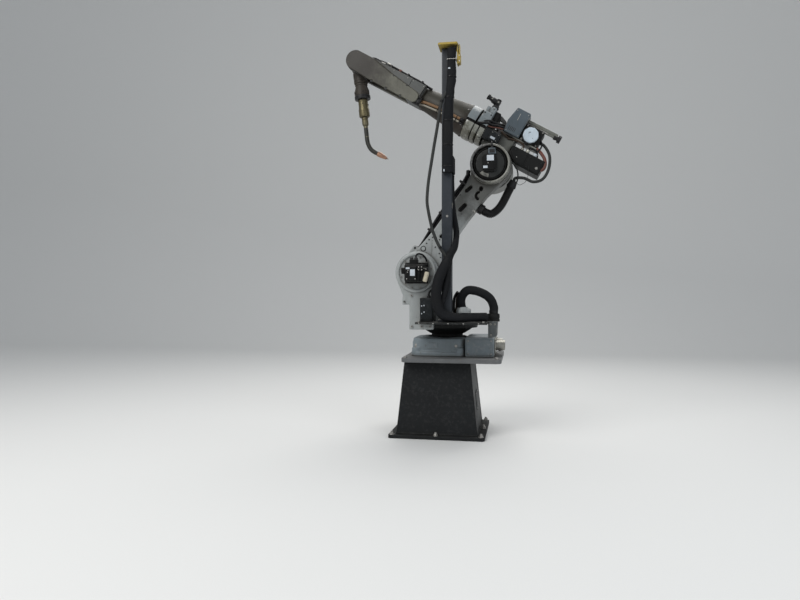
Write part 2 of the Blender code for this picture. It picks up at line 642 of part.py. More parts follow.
# ================================================================== wrist
wrist = cylinder("wrist_housing", (0, -0.040, 0), (0, 0.040, 0), 0.045, sides=32, frame=TOOL)
wrist_pins = cylinder("wrist_pin_form", (0, -0.0447, 0), (0, 0.0447, 0), 0.028, sides=24, frame=TOOL)
wrist_neck = turned("wrist_neck_form",
                    [(0.0, 0.1252), (0.043, 0.1252), (0.044, 0.110), (0.0395, 0.070),
                     (0.0385, 0.010), (0.0, 0.010)], (0, 0, 0), (0, 0, 1), 32, frame=TOOL)
joined(wrist, wrist_pins, wrist_neck)
carry(bend, material("wrist_brown", (0.25, 0.21, 0.18), 0.0, 0.5), wrist)

# =================================================================== tool
t_flange = cylinder("tool_flange", (0, 0, 0.1255), (0, 0, 0.138), 0.040, sides=32, frame=TOOL)
t_mount = turned("torch_mount",
                 [(0.0, 0.226), (0.050, 0.226), (0.0505, 0.222), (0.0505, 0.205), (0.047, 0.2015),
                  (0.046, 0.170), (0.038, 0.145), (0.038, 0.1383), (0.0, 0.1383)],
                 (0, 0, 0), (0, 0, 1), 32, frame=TOOL)
t_body = turned("torch_body",
                [(0.0, 0.338), (0.031, 0.338), (0.034, 0.332), (0.034, 0.290), (0.031, 0.286),
                 (0.031, 0.2263), (0.0, 0.2263)], (0, 0, 0), (0, 0, 1), 28, frame=TOOL)
t_neck = turned("torch_neck",
                [(0.0, 0.394), (0.0165, 0.394), (0.020, 0.388), (0.0205, 0.3383), (0.0, 0.3383)],
                (0, 0, 0), (0, 0, 1), 24, frame=TOOL)
TUBE_BEND = [(0, 0, 0.3943), (0, 0, 0.440), (0.000, 0, 0.480), (0.004, 0, 0.512),
             (0.018, 0, 0.545), (0.040, 0, 0.567), (0.0588, 0, 0.5800)]
t_tube = hose("torch_tube", TUBE_BEND, 0.0140, step=0.018, res=3, frame=TOOL)
n_dir = end_direction(TUBE_BEND, 0.018)
nozzle = turned("torch_nozzle",
                [(0.0, 0.078), (0.0035, 0.078), (0.0035, 0.066), (0.008, 0.066), (0.0095, 0.064),
                 (0.0145, 0.030), (0.0160, 0.028), (0.0160, 0.0003), (0.0, 0.0003)],
                TUBE_BEND[-1], n_dir, 24, frame=TOOL)

carry(twist, material("flange_steel", STEEL, 0.8, 0.35), t_flange)
carry(twist, material("mount_brown", (0.22, 0.18, 0.16), 0.0, 0.5), t_mount)
carry(twist, material("torch_brass", BRASS, 0.7, 0.45), t_body, t_neck)
carry(twist, material("torch_tube_grey", (0.30, 0.29, 0.26), 0.3, 0.5), t_tube)
carry(twist, material("nozzle_copper", COPPER, 0.9, 0.35), nozzle)

bpy.context.view_layer.update()
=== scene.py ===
import math
import random

import bmesh
import bpy
from mathutils import Matrix, Vector, noise


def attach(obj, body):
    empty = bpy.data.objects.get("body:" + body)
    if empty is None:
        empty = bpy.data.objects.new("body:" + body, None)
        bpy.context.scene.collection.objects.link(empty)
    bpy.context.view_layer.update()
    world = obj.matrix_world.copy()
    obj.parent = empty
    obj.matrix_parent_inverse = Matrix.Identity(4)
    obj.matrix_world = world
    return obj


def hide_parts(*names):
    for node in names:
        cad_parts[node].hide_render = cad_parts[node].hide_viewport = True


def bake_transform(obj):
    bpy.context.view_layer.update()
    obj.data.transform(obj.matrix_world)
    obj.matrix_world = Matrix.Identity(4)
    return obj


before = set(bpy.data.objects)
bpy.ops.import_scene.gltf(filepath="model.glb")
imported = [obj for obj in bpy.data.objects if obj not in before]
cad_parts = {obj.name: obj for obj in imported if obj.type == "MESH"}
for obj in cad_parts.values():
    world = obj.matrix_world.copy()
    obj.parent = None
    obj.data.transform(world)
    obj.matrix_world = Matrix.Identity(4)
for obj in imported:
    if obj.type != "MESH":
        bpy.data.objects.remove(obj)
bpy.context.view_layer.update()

scene = bpy.context.scene

# =================================================================== frames
L_X, L_Z, L_ARM = -0.150, 0.985, 0.760
L_LEAN, RISE, TILT = math.radians(34.2), math.radians(29.4), math.radians(6.3)
FOREARM, RZ = 1.082, 0.200


def frame_of(origin, x_axis, z_axis):
    x, z = Vector(x_axis).normalized(), Vector(z_axis).normalized()
    m = Matrix((x, z.cross(x), z)).transposed().to_4x4()
    m.translation = origin
    return m


SHOULDER = Vector((L_X, 0.0, L_Z))
ARM_DIR = Vector((math.sin(L_LEAN), 0.0, math.cos(L_LEAN)))
ELBOW = SHOULDER + L_ARM * ARM_DIR
REACH = Vector((-math.cos(RISE), 0.0, math.sin(RISE)))
LIFT = Vector((math.sin(RISE), 0.0, math.cos(RISE)))
WRIST = ELBOW + RZ * LIFT + FOREARM * REACH
TORCH = Vector((math.sin(TILT), 0.0, -math.cos(TILT)))
TORCH_X = Vector((math.cos(TILT), 0.0, math.sin(TILT)))
WORLD = Matrix()
ARM = frame_of(SHOULDER, (-math.cos(L_LEAN), 0, math.sin(L_LEAN)), ARM_DIR)
UP = frame_of(ELBOW, REACH, LIFT)
TOOL = frame_of(WRIST, TORCH_X, TORCH)

# =================================================================== camera
cam_data = bpy.data.cameras.new("camera")
cam_data.lens = 30.555
cam_data.sensor_width = 36.0
cam_data.dof.use_dof = False
cam = bpy.data.objects.new("camera", cam_data)
scene.collection.objects.link(cam)
yaw, pitch = math.radians(10.2), math.radians(1.07)
look = Vector((-math.sin(yaw) * math.cos(pitch), math.cos(yaw) * math.cos(pitch), -math.sin(pitch)))
cam.location = (0.462, -4.245, 0.899)
cam.rotation_euler = look.to_track_quat("-Z", "Y").to_euler()
scene.camera = cam


# ================================================================ materials
class Graph:
    """Node tree of one procedural material."""

    def __init__(self, name):
        self.m = bpy.data.materials.new(name)
        self.m.use_nodes = True
        self.t = self.m.node_tree
        self.t.nodes.clear()
        self.out = self.node("ShaderNodeOutputMaterial")
        self.b = self.node("ShaderNodeBsdfPrincipled")
        self.t.links.new(self.b.outputs[0], self.out.inputs[0])
        self.co = self.node("ShaderNodeTexCoord").outputs["Object"]

    def node(self, kind, **props):
        n = self.t.nodes.new(kind)
        for k, v in props.items():
            setattr(n, k, v)
        return n

    def put(self, sock, v):
        if hasattr(v, "is_output") or isinstance(v, bpy.types.NodeSocket):
            self.t.links.new(v, sock)
        elif isinstance(v, (tuple, list)) and len(v) == 3 and sock.type == "RGBA":
            sock.default_value = (*v, 1.0)
        else:
            sock.default_value = v

    def noise(self, scale, detail=4.0, rough=0.55, stretch=None, distort=0.0, turn=None, offset=None):
        n = self.node("ShaderNodeTexNoise")
        n.inputs["Scale"].default_value = scale
        n.inputs["Detail"].default_value = detail
        n.inputs["Roughness"].default_value = rough
        n.inputs["Distortion"].default_value = distort
        mp = self.node("ShaderNodeMapping")
        if stretch:
            mp.inputs["Scale"].default_value = stretch
        if turn:
            mp.inputs["Rotation"].default_value = turn
        if offset:
            mp.inputs["Location"].default_value = offset
        self.t.links.new(self.co, mp.inputs["Vector"])
        self.t.links.new(mp.outputs[0], n.inputs["Vector"])
        return n.outputs["Fac"]

    def ramp(self, fac, a, b, lo=0.0, hi=1.0):
        n = self.node("ShaderNodeMapRange", interpolation_type="SMOOTHSTEP", clamp=True)
        self.put(n.inputs["Value"], fac)
        for k, v in (("From Min", a), ("From Max", b), ("To Min", lo), ("To Max", hi)):
            n.inputs[k].default_value = v
        return n.outputs["Result"]

    def math(self, op, a, b=0.0, clamp=False):
        n = self.node("ShaderNodeMath", operation=op, use_clamp=clamp)
        self.put(n.inputs[0], a)
        self.put(n.inputs[1], b)
        return n.outputs[0]

    def mix(self, fac, a, b, how="MIX"):
        n = self.node("ShaderNodeMix", data_type="RGBA", blend_type=how)
        self.put(n.inputs[0], fac)
        self.put(n.inputs[6], a)
        self.put(n.inputs[7], b)
        return n.outputs[2]

    def along(self, axis, origin=(0, 0, 0)):
        """Distance of the surface point along an axis, in metres."""
        s = self.node("ShaderNodeVectorMath", operation="SUBTRACT")
        self.t.links.new(self.co, s.inputs[0])
        s.inputs[1].default_value = origin
        d = self.node("ShaderNodeVectorMath", operation="DOT_PRODUCT")
        self.t.links.new(s.outputs[0], d.inputs[0])
        d.inputs[1].default_value = tuple(axis)
        return d.outputs["Value"]

    def crevice(self, distance=0.03, samples=4):
        n = self.node("ShaderNodeAmbientOcclusion", samples=samples)
        n.inputs["Distance"].default_value = distance
        return n.outputs["AO"]

    def edges(self):
        return self.node("ShaderNodeNewGeometry").outputs["Pointiness"]

    def up(self):
        """1 on faces that look up, 0 on the others."""
        s = self.node("ShaderNodeSeparateXYZ")
        self.t.links.new(self.node("ShaderNodeNewGeometry").outputs["Normal"], s.inputs[0])
        return s.outputs["Z"]

    def bump(self, height, strength=0.3, distance=0.001, normal=None):
        n = self.node("ShaderNodeBump")
        n.inputs["Strength"].default_value = strength
        n.inputs["Distance"].default_value = distance
        self.put(n.inputs["Height"], height)
        if normal is not None:
            self.t.links.new(normal, n.inputs["Normal"])
        return n.outputs[0]

    def finish(self, colour, rough, metallic=0.0, normal=None, **const):
        self.put(self.b.inputs["Base Color"], colour)
        self.put(self.b.inputs["Roughness"], rough)
        self.put(self.b.inputs["Metallic"], metallic)
        if normal is not None:
            self.t.links.new(normal, self.b.inputs["Normal"])
        for k, v in const.items():
            self.b.inputs[k.replace("_", " ")].default_value = v
        return self.m


def tone(c, k):
    return tuple(min(1.0, max(0.0, v * k)) for v in c)


def paint(name, base, rough=0.42, dirt_and_shade_col=(0.10, 0.085, 0.065), dirt_and_shade_amt=0.45, dust=0.25,
          worn=(0.30, 0.30, 0.29), wear=0.5, cast=0.35, stain_and_painted_light=None, streak=0.25, spec=0.45):
    """Enamel over a casting or sheet: cloudy colour, painted shade with soiling in the corners,
    dust on top, run marks, worn edges and small chips."""
    g = Graph(name)
    cloud = g.noise(5.0, 5.0, 0.6)
    fine = g.noise(34.0, 6.0, 0.62)
    col = g.mix(g.ramp(cloud, 0.32, 0.72), tone(base, 0.88), tone(base, 1.10))
    col = g.mix(g.ramp(fine, 0.45, 0.75, 0.0, 0.35), col, tone(base, 0.74))
    runs = g.noise(9.0, 5.0, 0.6, stretch=(7.0, 7.0, 0.6))
    col = g.mix(g.ramp(runs, 0.52, 0.74, 0.0, streak), col, tuple(0.5 * (a * 0.55 + b) for a, b in zip(base, dirt_and_shade_col)))
    # optional darkening along an axis: smoke-blackening on the forearm, painted shade and painted reflections on other
    # parts
    if stain_and_painted_light:
        axis, origin, a, b, colour, amount = stain_and_painted_light
        stain_and_light_pos = g.math("ADD", g.along(axis, origin), g.ramp(g.noise(11.0, 6.0, 0.65), 0.25, 0.75, -0.09, 0.09))
        col = g.mix(g.ramp(stain_and_light_pos, a, b, 0.0, amount), col, colour)
    # painted shade: ambient occlusion darkens corners and crevices, broken up by patchy soiling
    deep = g.ramp(g.crevice(0.035), 0.35, 0.92, 1.0, 0.0)
    grime_and_shade = g.math("MULTIPLY", deep, g.ramp(g.noise(22.0, 5.0, 0.7), 0.25, 0.6, 0.55, 1.0))
    col = g.mix(g.math("MULTIPLY", grime_and_shade, dirt_and_shade_amt, clamp=True), col, dirt_and_shade_col)
    spots = g.math("MULTIPLY", g.ramp(g.noise(55.0, 3.0, 0.5, offset=(3, 1, 7)), 0.66, 0.74), dirt_and_shade_amt * 0.9)
    col = g.mix(spots, col, tone(dirt_and_shade_col, 0.8))
    top = g.math("MULTIPLY", g.ramp(g.up(), 0.35, 0.95), g.ramp(g.noise(14.0, 4.0, 0.6), 0.3, 0.7, 0.35, 1.0))
    col = g.mix(g.math("MULTIPLY", top, dust, clamp=True), col, tuple(0.45 * a + 0.55 * b for a, b in zip(base, (0.26, 0.25, 0.225))))
    rim = g.math("MULTIPLY", g.ramp(g.edges(), 0.515, 0.60), g.ramp(g.noise(48.0, 5.0, 0.7, offset=(9, 2, 4)), 0.48, 0.66))
    chips = g.ramp(g.noise(120.0, 2.0, 0.5, offset=(5, 5, 1)), 0.735, 0.765)
    bare = g.math("MULTIPLY", g.math("ADD", rim, g.math("MULTIPLY", chips, 0.55), clamp=True), wear, clamp=True)
    col = g.mix(bare, col, worn)
    r = g.math("ADD", rough, g.ramp(cloud, 0.3, 0.7, -0.06, 0.08))
    r = g.math("ADD", r, g.math("MULTIPLY", top, 0.22))
    r = g.math("ADD", r, g.math("MULTIPLY", grime_and_shade, 0.25), clamp=True)
    n = g.bump(g.noise(420.0, 2.0, 0.5), 0.05, 0.0006)
    n = g.bump(g.noise(70.0, 5.0, 0.6), cast * 0.30, 0.0012, n)
    n = g.bump(g.math("SUBTRACT", 1.0, bare), 0.25, 0.0004, n)
    return g.finish(col, r, 0.0, n, Specular_IOR_Level=spec)


def metal(name, base, rough=0.35, metallic=0.9, dirt_and_shade_col=(0.06, 0.05, 0.04), dirt_and_shade_amt=0.5, brushed=None,
          heat=None, spotty=0.3):
    """Bare or plated metal: brushed or turned lines, tarnish, and painted shade with soiling in the crevices."""
    g = Graph(name)
    cloud = g.noise(16.0, 5.0, 0.65)
    col = g.mix(g.ramp(cloud, 0.3, 0.7), tone(base, 0.78), tone(base, 1.12))
    if heat:
        axis, origin, a, b, colour, amount = heat
        where = g.math("ADD", g.along(axis, origin), g.ramp(g.noise(60.0, 5.0, 0.65), 0.25, 0.75, -0.012, 0.012))
        col = g.mix(g.ramp(where, a, b, 0.0, amount), col, colour)
    spots = g.ramp(g.noise(90.0, 5.0, 0.7, offset=(2, 8, 3)), 0.5, 0.68, 0.0, spotty)
    col = g.mix(spots, col, tone(dirt_and_shade_col, 1.6))
    # painted shade: ambient occlusion darkens the crevices
    deep = g.ramp(g.crevice(0.02), 0.3, 0.9, dirt_and_shade_amt, 0.0)
    col = g.mix(deep, col, dirt_and_shade_col)
    lines = g.noise(60.0, 3.0, 0.6, stretch=brushed or (1.0, 1.0, 12.0))
    r = g.math("ADD", rough, g.ramp(cloud, 0.3, 0.7, -0.08, 0.12))
    r = g.math("ADD", r, g.math("MULTIPLY", g.math("ADD", spots, deep), 0.35), clamp=True)
    n = g.bump(lines, 0.10, 0.0004)
    n = g.bump(g.noise(240.0, 3.0, 0.6), 0.06, 0.0005, n)
    mt = g.math("SUBTRACT", metallic, g.math("MULTIPLY", g.math("ADD", spots, deep), 0.6), clamp=True)
    return g.finish(col, r, mt, n)


def rubber(name, base, rough=0.6, dust=0.25, grain=0.3, dustcol=(0.16, 0.15, 0.135), sheen=0.0):
    g = Graph(name)
    cloud = g.noise(12.0, 5.0, 0.6)
    col = g.mix(g.ramp(cloud, 0.3, 0.7), tone(base, 0.75), tone(base, 1.35))
    top = g.math("MULTIPLY", g.ramp(g.up(), 0.0, 0.95, 0.25, 1.0), g.ramp(g.noise(26.0, 6.0, 0.7), 0.35, 0.75))
    col = g.mix(g.math("MULTIPLY", top, dust, clamp=True), col, dustcol)
    scuff = g.ramp(g.noise(60.0, 4.0, 0.6, stretch=(1, 1, 4.0)), 0.60, 0.72, 0.0, 0.35)
    col = g.mix(scuff, col, tone(base, 2.6))
    r = g.math("ADD", rough, g.ramp(cloud, 0.3, 0.7, -0.08, 0.10))
    r = g.math("ADD", r, g.math("MULTIPLY", top, dust), clamp=True)
    n = g.bump(g.noise(180.0, 4.0, 0.6), grain * 0.4, 0.0008)
    return g.finish(col, r, 0.0, n, Specular_IOR_Level=0.25)


def woven(name, base, cell=0.0045, dust=0.3):
    """Braided protective sleeving: crossing yarns, dust on the upper side."""
    g = Graph(name)
    waves = []
    for turn in (math.radians(38), math.radians(-38)):
        mp = g.node("ShaderNodeMapping")
        mp.inputs["Rotation"].default_value = (0.0, turn, 0.0)
        g.t.links.new(g.co, mp.inputs["Vector"])
        w = g.node("ShaderNodeTexWave", wave_type="BANDS", bands_direction="X", wave_profile="SIN")
        w.inputs["Scale"].default_value = 0.314 / cell
        w.inputs["Distortion"].default_value = 1.2
        w.inputs["Detail"].default_value = 1.0
        g.t.links.new(mp.outputs[0], w.inputs["Vector"])
        waves.append(w.outputs["Fac"])
    weave = g.math("MULTIPLY", waves[0], waves[1])
    cloud = g.noise(9.0, 5.0, 0.65)
    col = g.mix(g.ramp(weave, 0.1, 0.8), tone(base, 0.55), tone(base, 1.5))
    col = g.mix(g.ramp(cloud, 0.35, 0.75, 0.0, 0.5), col, tone(base, 2.2))
    top = g.math("MULTIPLY", g.ramp(g.up(), -0.1, 0.95, 0.15, 1.0), g.ramp(g.noise(30.0, 6.0, 0.7), 0.4, 0.75))
    col = g.mix(g.math("MULTIPLY", top, 0.5 * dust, clamp=True), col, (0.060, 0.057, 0.053))
    n = g.bump(weave, 0.55, 0.0012)
    n = g.bump(g.noise(34.0, 5.0, 0.65), 0.35, 0.004, n)
    return g.finish(col, g.ramp(cloud, 0.3, 0.7, 0.62, 0.85), 0.0, n, Specular_IOR_Level=0.18)


def plastic(name, base, rough=0.4, grime_and_shade=0.3, gloss=0.5):
    g = Graph(name)
    cloud = g.noise(30.0, 4.0, 0.6)
    col = g.mix(g.ramp(cloud, 0.3, 0.75), tone(base, 0.92), tone(base, 1.05))
    # painted shade: ambient occlusion darkens the crevices; the noise patches below are soiling
    deep = g.ramp(g.crevice(0.012), 0.3, 0.9, grime_and_shade, 0.0)
    col = g.mix(deep, col, (0.10, 0.09, 0.07))
    col = g.mix(g.ramp(g.noise(75.0, 5.0, 0.7), 0.55, 0.75, 0.0, grime_and_shade * 0.6), col, (0.22, 0.20, 0.17))
    n = g.bump(g.noise(300.0, 3.0, 0.5), 0.06, 0.0005)
    return g.finish(col, g.ramp(cloud, 0.3, 0.7, rough - 0.06, rough + 0.08), 0.0, n, Specular_IOR_Level=gloss)


LIGHT = (0.330, 0.352, 0.352)
BLUE = (0.0145, 0.0190, 0.0255)
FORE = (0.112, 0.111, 0.088)
SOOT = (0.014, 0.011, 0.008)
BROWN = (0.026, 0.021, 0.016)

M = {
    "charcoal": paint("charcoal_enamel", (0.0058, 0.0070, 0.0080), 0.50, dirt_and_shade_col=(0.020, 0.019, 0.017), dirt_and_shade_amt=0.4,
                      dust=0.12, worn=(0.055, 0.055, 0.055), wear=0.5, streak=0.4, cast=0.25, spec=0.22),
    "plate": paint("worn_plate_grey", (0.100, 0.104, 0.108), 0.46, dirt_and_shade_amt=0.6, dust=0.30,
                   worn=(0.24, 0.235, 0.22), wear=0.6),
    "base": paint("base_blue_grey", (0.170, 0.205, 0.225), 0.42, dirt_and_shade_amt=0.6, dust=0.35),
    "wedge": paint("bracket_blue_grey", (0.052, 0.060, 0.063), 0.42, dirt_and_shade_amt=0.6, dust=0.2),
    "blue": paint("mast_blue_grey", BLUE, 0.40, dirt_and_shade_col=(0.018, 0.017, 0.015), dirt_and_shade_amt=0.4, dust=0.12, worn=(0.12, 0.13, 0.14),
                  wear=0.30, cast=0.12, spec=0.35),
    "light": paint("casting_light_grey", LIGHT, 0.42, dirt_and_shade_amt=0.6, dust=0.2, streak=0.35),
    # darkens from mid-arm toward the elbow: painted shade with some soiling
    "arm": paint("lower_arm_grey", (0.300, 0.318, 0.318), 0.44, dirt_and_shade_col=(0.045, 0.038, 0.030), dirt_and_shade_amt=0.95, dust=0.1, streak=0.6,
                 worn=(0.30, 0.29, 0.27), wear=0.35,
                 stain_and_painted_light=(ARM_DIR, SHOULDER, 0.24, 0.56, (0.052, 0.053, 0.048), 0.93)),
    # base colour darkened for the shade the elbow casting sits in: painted shade
    "upper": paint("upper_arm_grey", (0.105, 0.108, 0.096), 0.42, dirt_and_shade_col=(0.030, 0.026, 0.020), dirt_and_shade_amt=0.9, dust=0.2, streak=0.55, wear=0.35),
    # blue-tinted silver for the upper half of the roll housing and its flange: painted sky reflection
    "upper_light": paint("housing_silver_sky_reflection", (0.215, 0.246, 0.260), 0.33, dirt_and_shade_col=(0.05, 0.045, 0.035), dirt_and_shade_amt=0.8, dust=0.12, spec=0.6,
                         wear=0.35, streak=0.4),
    # beige-tinted copy of that silver for the lower half, darker olive toward the bottom: painted reflection
    "lobe": paint("lobe_silver_warm_reflection", (0.285, 0.290, 0.255), 0.20, dirt_and_shade_col=(0.05, 0.045, 0.03), dirt_and_shade_amt=0.85, dust=0.1, spec=0.9, wear=0.35,
                  streak=0.45, stain_and_painted_light=(-LIFT, ELBOW + RZ * LIFT, 0.020, 0.095, (0.042, 0.038, 0.018), 0.90)),
    "fore": paint("forearm_olive_grey", FORE, 0.46, dirt_and_shade_col=(0.035, 0.030, 0.022), dirt_and_shade_amt=0.8, dust=0.10, streak=0.45, wear=0.35, spec=0.35,
                  stain_and_painted_light=(REACH, ELBOW, 0.66, 1.02, SOOT, 0.95)),
    "fore_blue": paint("forearm_blue_grey", (0.052, 0.057, 0.055), 0.46, dirt_and_shade_amt=0.7, dust=0.2, wear=0.35,
                       stain_and_painted_light=(REACH, ELBOW, 0.72, 1.06, SOOT, 0.92)),
    # darker brown toward the underside
    "cone": paint("cone_beige_grey", (0.034, 0.032, 0.024), 0.50, dirt_and_shade_col=(0.018, 0.014, 0.010), dirt_and_shade_amt=0.85, dust=0.10, spec=0.32, streak=0.6, wear=0.3,
                  stain_and_painted_light=(-LIFT, ELBOW + RZ * LIFT, -0.010, 0.075, (0.016, 0.010, 0.006), 0.94)),
    "brown": paint("wrist_brown", BROWN, 0.52, dirt_and_shade_col=(0.014, 0.011, 0.009), dirt_and_shade_amt=0.75, dust=0.12,
                   worn=(0.13, 0.11, 0.09), wear=0.5, cast=0.6, spec=0.35),
    "tray": paint("tray_dark", (0.0070, 0.0078, 0.0080), 0.45, dirt_and_shade_col=(0.02, 0.019, 0.017), dirt_and_shade_amt=0.5, dust=0.18, worn=(0.11, 0.11, 0.105),
                  wear=0.45, spec=0.3),
    "motor_black": paint("motor_black", (0.0026, 0.0030, 0.0029), 0.40, dirt_and_shade_col=(0.012, 0.011, 0.010), dirt_and_shade_amt=0.35, dust=0.10,
                         worn=(0.045, 0.045, 0.045), wear=0.30, streak=0.1, cast=0.5, spec=0.18),
    "motor_grey": paint("motor_grey", (0.0070, 0.0098, 0.0115), 0.40, dirt_and_shade_col=(0.015, 0.014, 0.013), dirt_and_shade_amt=0.4, dust=0.12,
                        worn=(0.06, 0.065, 0.07), wear=0.30, streak=0.15, cast=0.5, spec=0.24),
    "dark_cast": paint("dark_casting", (0.0045, 0.0049, 0.0048), 0.5, dirt_and_shade_col=(0.014, 0.013, 0.012), dirt_and_shade_amt=0.5, dust=0.12,
                       worn=(0.06, 0.06, 0.06), wear=0.3, cast=0.8, spec=0.20),
    "feeder": paint("feeder_blue_grey", (0.062, 0.082, 0.098), 0.36, dirt_and_shade_col=(0.03, 0.03, 0.028), dirt_and_shade_amt=0.5, dust=0.2,
                    worn=(0.20, 0.22, 0.23), wear=0.5, cast=0.15),
    "yellow": paint("clamp_yellow", (0.30, 0.215, 0.030), 0.5, dirt_and_shade_col=(0.04, 0.032, 0.015), dirt_and_shade_amt=0.85, dust=0.12, wear=0.4),
    # painted shade: the ring darkens toward its upper-left side and stays light on the lower right
    "collar": paint("collar_beige_grey", (0.150, 0.150, 0.130), 0.38, dirt_and_shade_col=(0.02, 0.018, 0.014), dirt_and_shade_amt=0.85, dust=0.12,
                    worn=(0.34, 0.34, 0.32), wear=0.7, cast=0.2, spec=0.6,
                    stain_and_painted_light=((-0.80, 0.0, 0.60), ELBOW, -0.02, 0.060, (0.010, 0.010, 0.011), 0.95)),
    "disc_grey": paint("motor_cap_grey", (0.0125, 0.0138, 0.0132), 0.34, dirt_and_shade_col=(0.012, 0.012, 0.011), dirt_and_shade_amt=0.5, dust=0.08,
                       worn=(0.10, 0.10, 0.10), wear=0.3, cast=0.3, spec=0.30),
    "red": paint("hose_end_red", (0.110, 0.026, 0.016), 0.5, dirt_and_shade_amt=0.6, dust=0.15, wear=0.15),
    "steel": metal("bolt_steel", (0.40, 0.39, 0.37), 0.34),
    "zinc": metal("plated_fitting", (0.36, 0.355, 0.32), 0.38, dirt_and_shade_amt=0.6),
    "rail": metal("rail_aluminium", (0.17, 0.175, 0.155), 0.45, 0.75, dirt_and_shade_amt=0.7),
    "oxide": metal("black_oxide", (0.016, 0.016, 0.017), 0.42, 0.45, dirt_and_shade_col=(0.012, 0.011, 0.010), dirt_and_shade_amt=0.4, spotty=0.2),
    "brass": metal("tarnished_brass", (0.120, 0.104, 0.058), 0.38, 0.85, dirt_and_shade_col=(0.022, 0.016, 0.010), dirt_and_shade_amt=0.75, spotty=0.5,
                   heat=(TORCH, WRIST, 0.33, 0.42, (0.165, 0.155, 0.112), 0.7)),
    "tube": metal("torch_tube_grey", (0.026, 0.026, 0.023), 0.48, 0.5, dirt_and_shade_col=(0.02, 0.018, 0.015), dirt_and_shade_amt=0.5, spotty=0.5),
    "copper": metal("nozzle_copper", (0.34, 0.190, 0.125), 0.38, 0.85, dirt_and_shade_col=(0.03, 0.022, 0.018), spotty=0.6,
                    heat=(TORCH_X, WRIST + 0.60 * TORCH, 0.085, 0.125, (0.20, 0.165, 0.15), 0.75)),
    "rubber": rubber("hose_rubber", (0.0050, 0.0050, 0.0058), 0.52, dust=0.12, dustcol=(0.05, 0.048, 0.044)),
    "conduit": rubber("conduit_black", (0.0038, 0.0038, 0.0042), 0.45, dust=0.15, dustcol=(0.05, 0.048, 0.044)),
    "hose_grey": rubber("hose_grey", (0.020, 0.0215, 0.0205), 0.55, dust=0.15, dustcol=(0.07, 0.067, 0.06)),
    "hose_brown": rubber("hose_brown", (0.036, 0.024, 0.017), 0.55, dust=0.25, dustcol=(0.08, 0.07, 0.06)),
    "tie": rubber("cable_tie", (0.0035, 0.0035, 0.0040), 0.38, dust=0.06, dustcol=(0.04, 0.04, 0.04)),
    "sleeve": woven("woven_sleeve", (0.0048, 0.0055, 0.0068)),
    "label": plastic("blank_plate", (0.46, 0.50, 0.54), 0.38, grime_and_shade=0.25),
    "cream": plastic("cream_plastic", (0.42, 0.38, 0.29), 0.45, grime_and_shade=0.5),
    "white": plastic("white_cover", (0.46, 0.53, 0.59), 0.32, grime_and_shade=0.25),
    "orange": plastic("amber_strip", (0.135, 0.066, 0.020), 0.5, grime_and_shade=0.6),
    "pale": plastic("pale_strip", (0.26, 0.24, 0.20), 0.5, grime_and_shade=0.5),
}


# ================================================================= geometry
def merge(bm, src, mat=0, matrix=None):
    """Adds a bmesh to another one, with a material index."""
    for f in src.faces:
        f.material_index = mat
    if matrix is not None:
        src.transform(matrix)
    me = bpy.data.meshes.new("part")
    src.to_mesh(me)
    src.free()
    bm.from_mesh(me)
    bpy.data.meshes.remove(me)


def box(bm, lo, hi, F=WORLD, mat=0, bevel=0.0, seg=2, turn=None):
    lo, hi = Vector(lo), Vector(hi)
    b = bmesh.new()
    bmesh.ops.create_cube(b, size=1.0)
    bmesh.ops.scale(b, vec=hi - lo, verts=b.verts[:])
    if bevel:
        bmesh.ops.bevel(b, geom=b.edges[:], offset=bevel, segments=seg, affect="EDGES", profile=0.5)
    if turn is not None:
        b.transform(turn)
    bmesh.ops.translate(b, vec=(lo + hi) / 2, verts=b.verts[:])
    merge(bm, b, mat, F)


def lathe(bm, profile, origin, axis, n=40, F=WORLD, mat=0, start=0.0, ripple=None):
    """profile: (radius, height) in order; solid if it closes on the axis.
    ripple: (index list, count, depth) of fluted rings."""
    b = bmesh.new()
    rings = []
    for i, (r, h) in enumerate(profile):
        if r <= 1e-6:
            rings.append([b.verts.new((0, 0, h))])
        else:
            ring = []
            for k in range(n):
                a = start + math.tau * k / n
                rr = r
                if ripple and i in ripple[0]:
                    rr = r - ripple[2] * (0.5 - 0.5 * math.cos(a * ripple[1]))
                ring.append(b.verts.new((rr * math.cos(a), rr * math.sin(a), h)))
            rings.append(ring)
    for p, q in zip(rings, rings[1:]):
        for k in range(n):
            j = (k + 1) % n
            if len(p) == 1 and len(q) == 1:
                continue
            if len(p) == 1:
                b.faces.new((p[0], q[j], q[k]))
            elif len(q) == 1:
                b.faces.new((p[k], p[j], q[0]))
            else:
                b.faces.new((p[k], p[j], q[j], q[k]))
    if len(rings[0]) > 1 and len(rings[-1]) > 1:       # a ring with a hole
        for k in range(n):
            j = (k + 1) % n
            b.faces.new((rings[-1][k], rings[-1][j], rings[0][j], rings[0][k]))
    bmesh.ops.recalc_face_normals(b, faces=b.faces[:])
    turn = Vector((0, 0, 1)).rotation_difference(Vector(axis)).to_matrix().to_4x4()
    merge(bm, b, mat, F @ Matrix.Translation(origin) @ turn)


def rod(bm, p0, p1, r0, r1=None, n=24, F=WORLD, mat=0, edge=0.0):
    p0, p1 = Vector(p0), Vector(p1)
    d = (p1 - p0).length
    r1 = r0 if r1 is None else r1
    e = min(edge, 0.45 * d, 0.45 * min(r0, r1)) if edge else 0.0
    if e:
        pr = [(0, 0), (r0 - e, 0), (r0 - 0.3 * e, 0.3 * e), (r0, e), (r1, d - e), (r1 - 0.3 * e, d - 0.3 * e),
              (r1 - e, d), (0, d)]
    else:
        pr = [(0, 0), (r0, 0), (r1, d), (0, d)]
    lathe(bm, pr, p0, p1 - p0, n, F, mat)


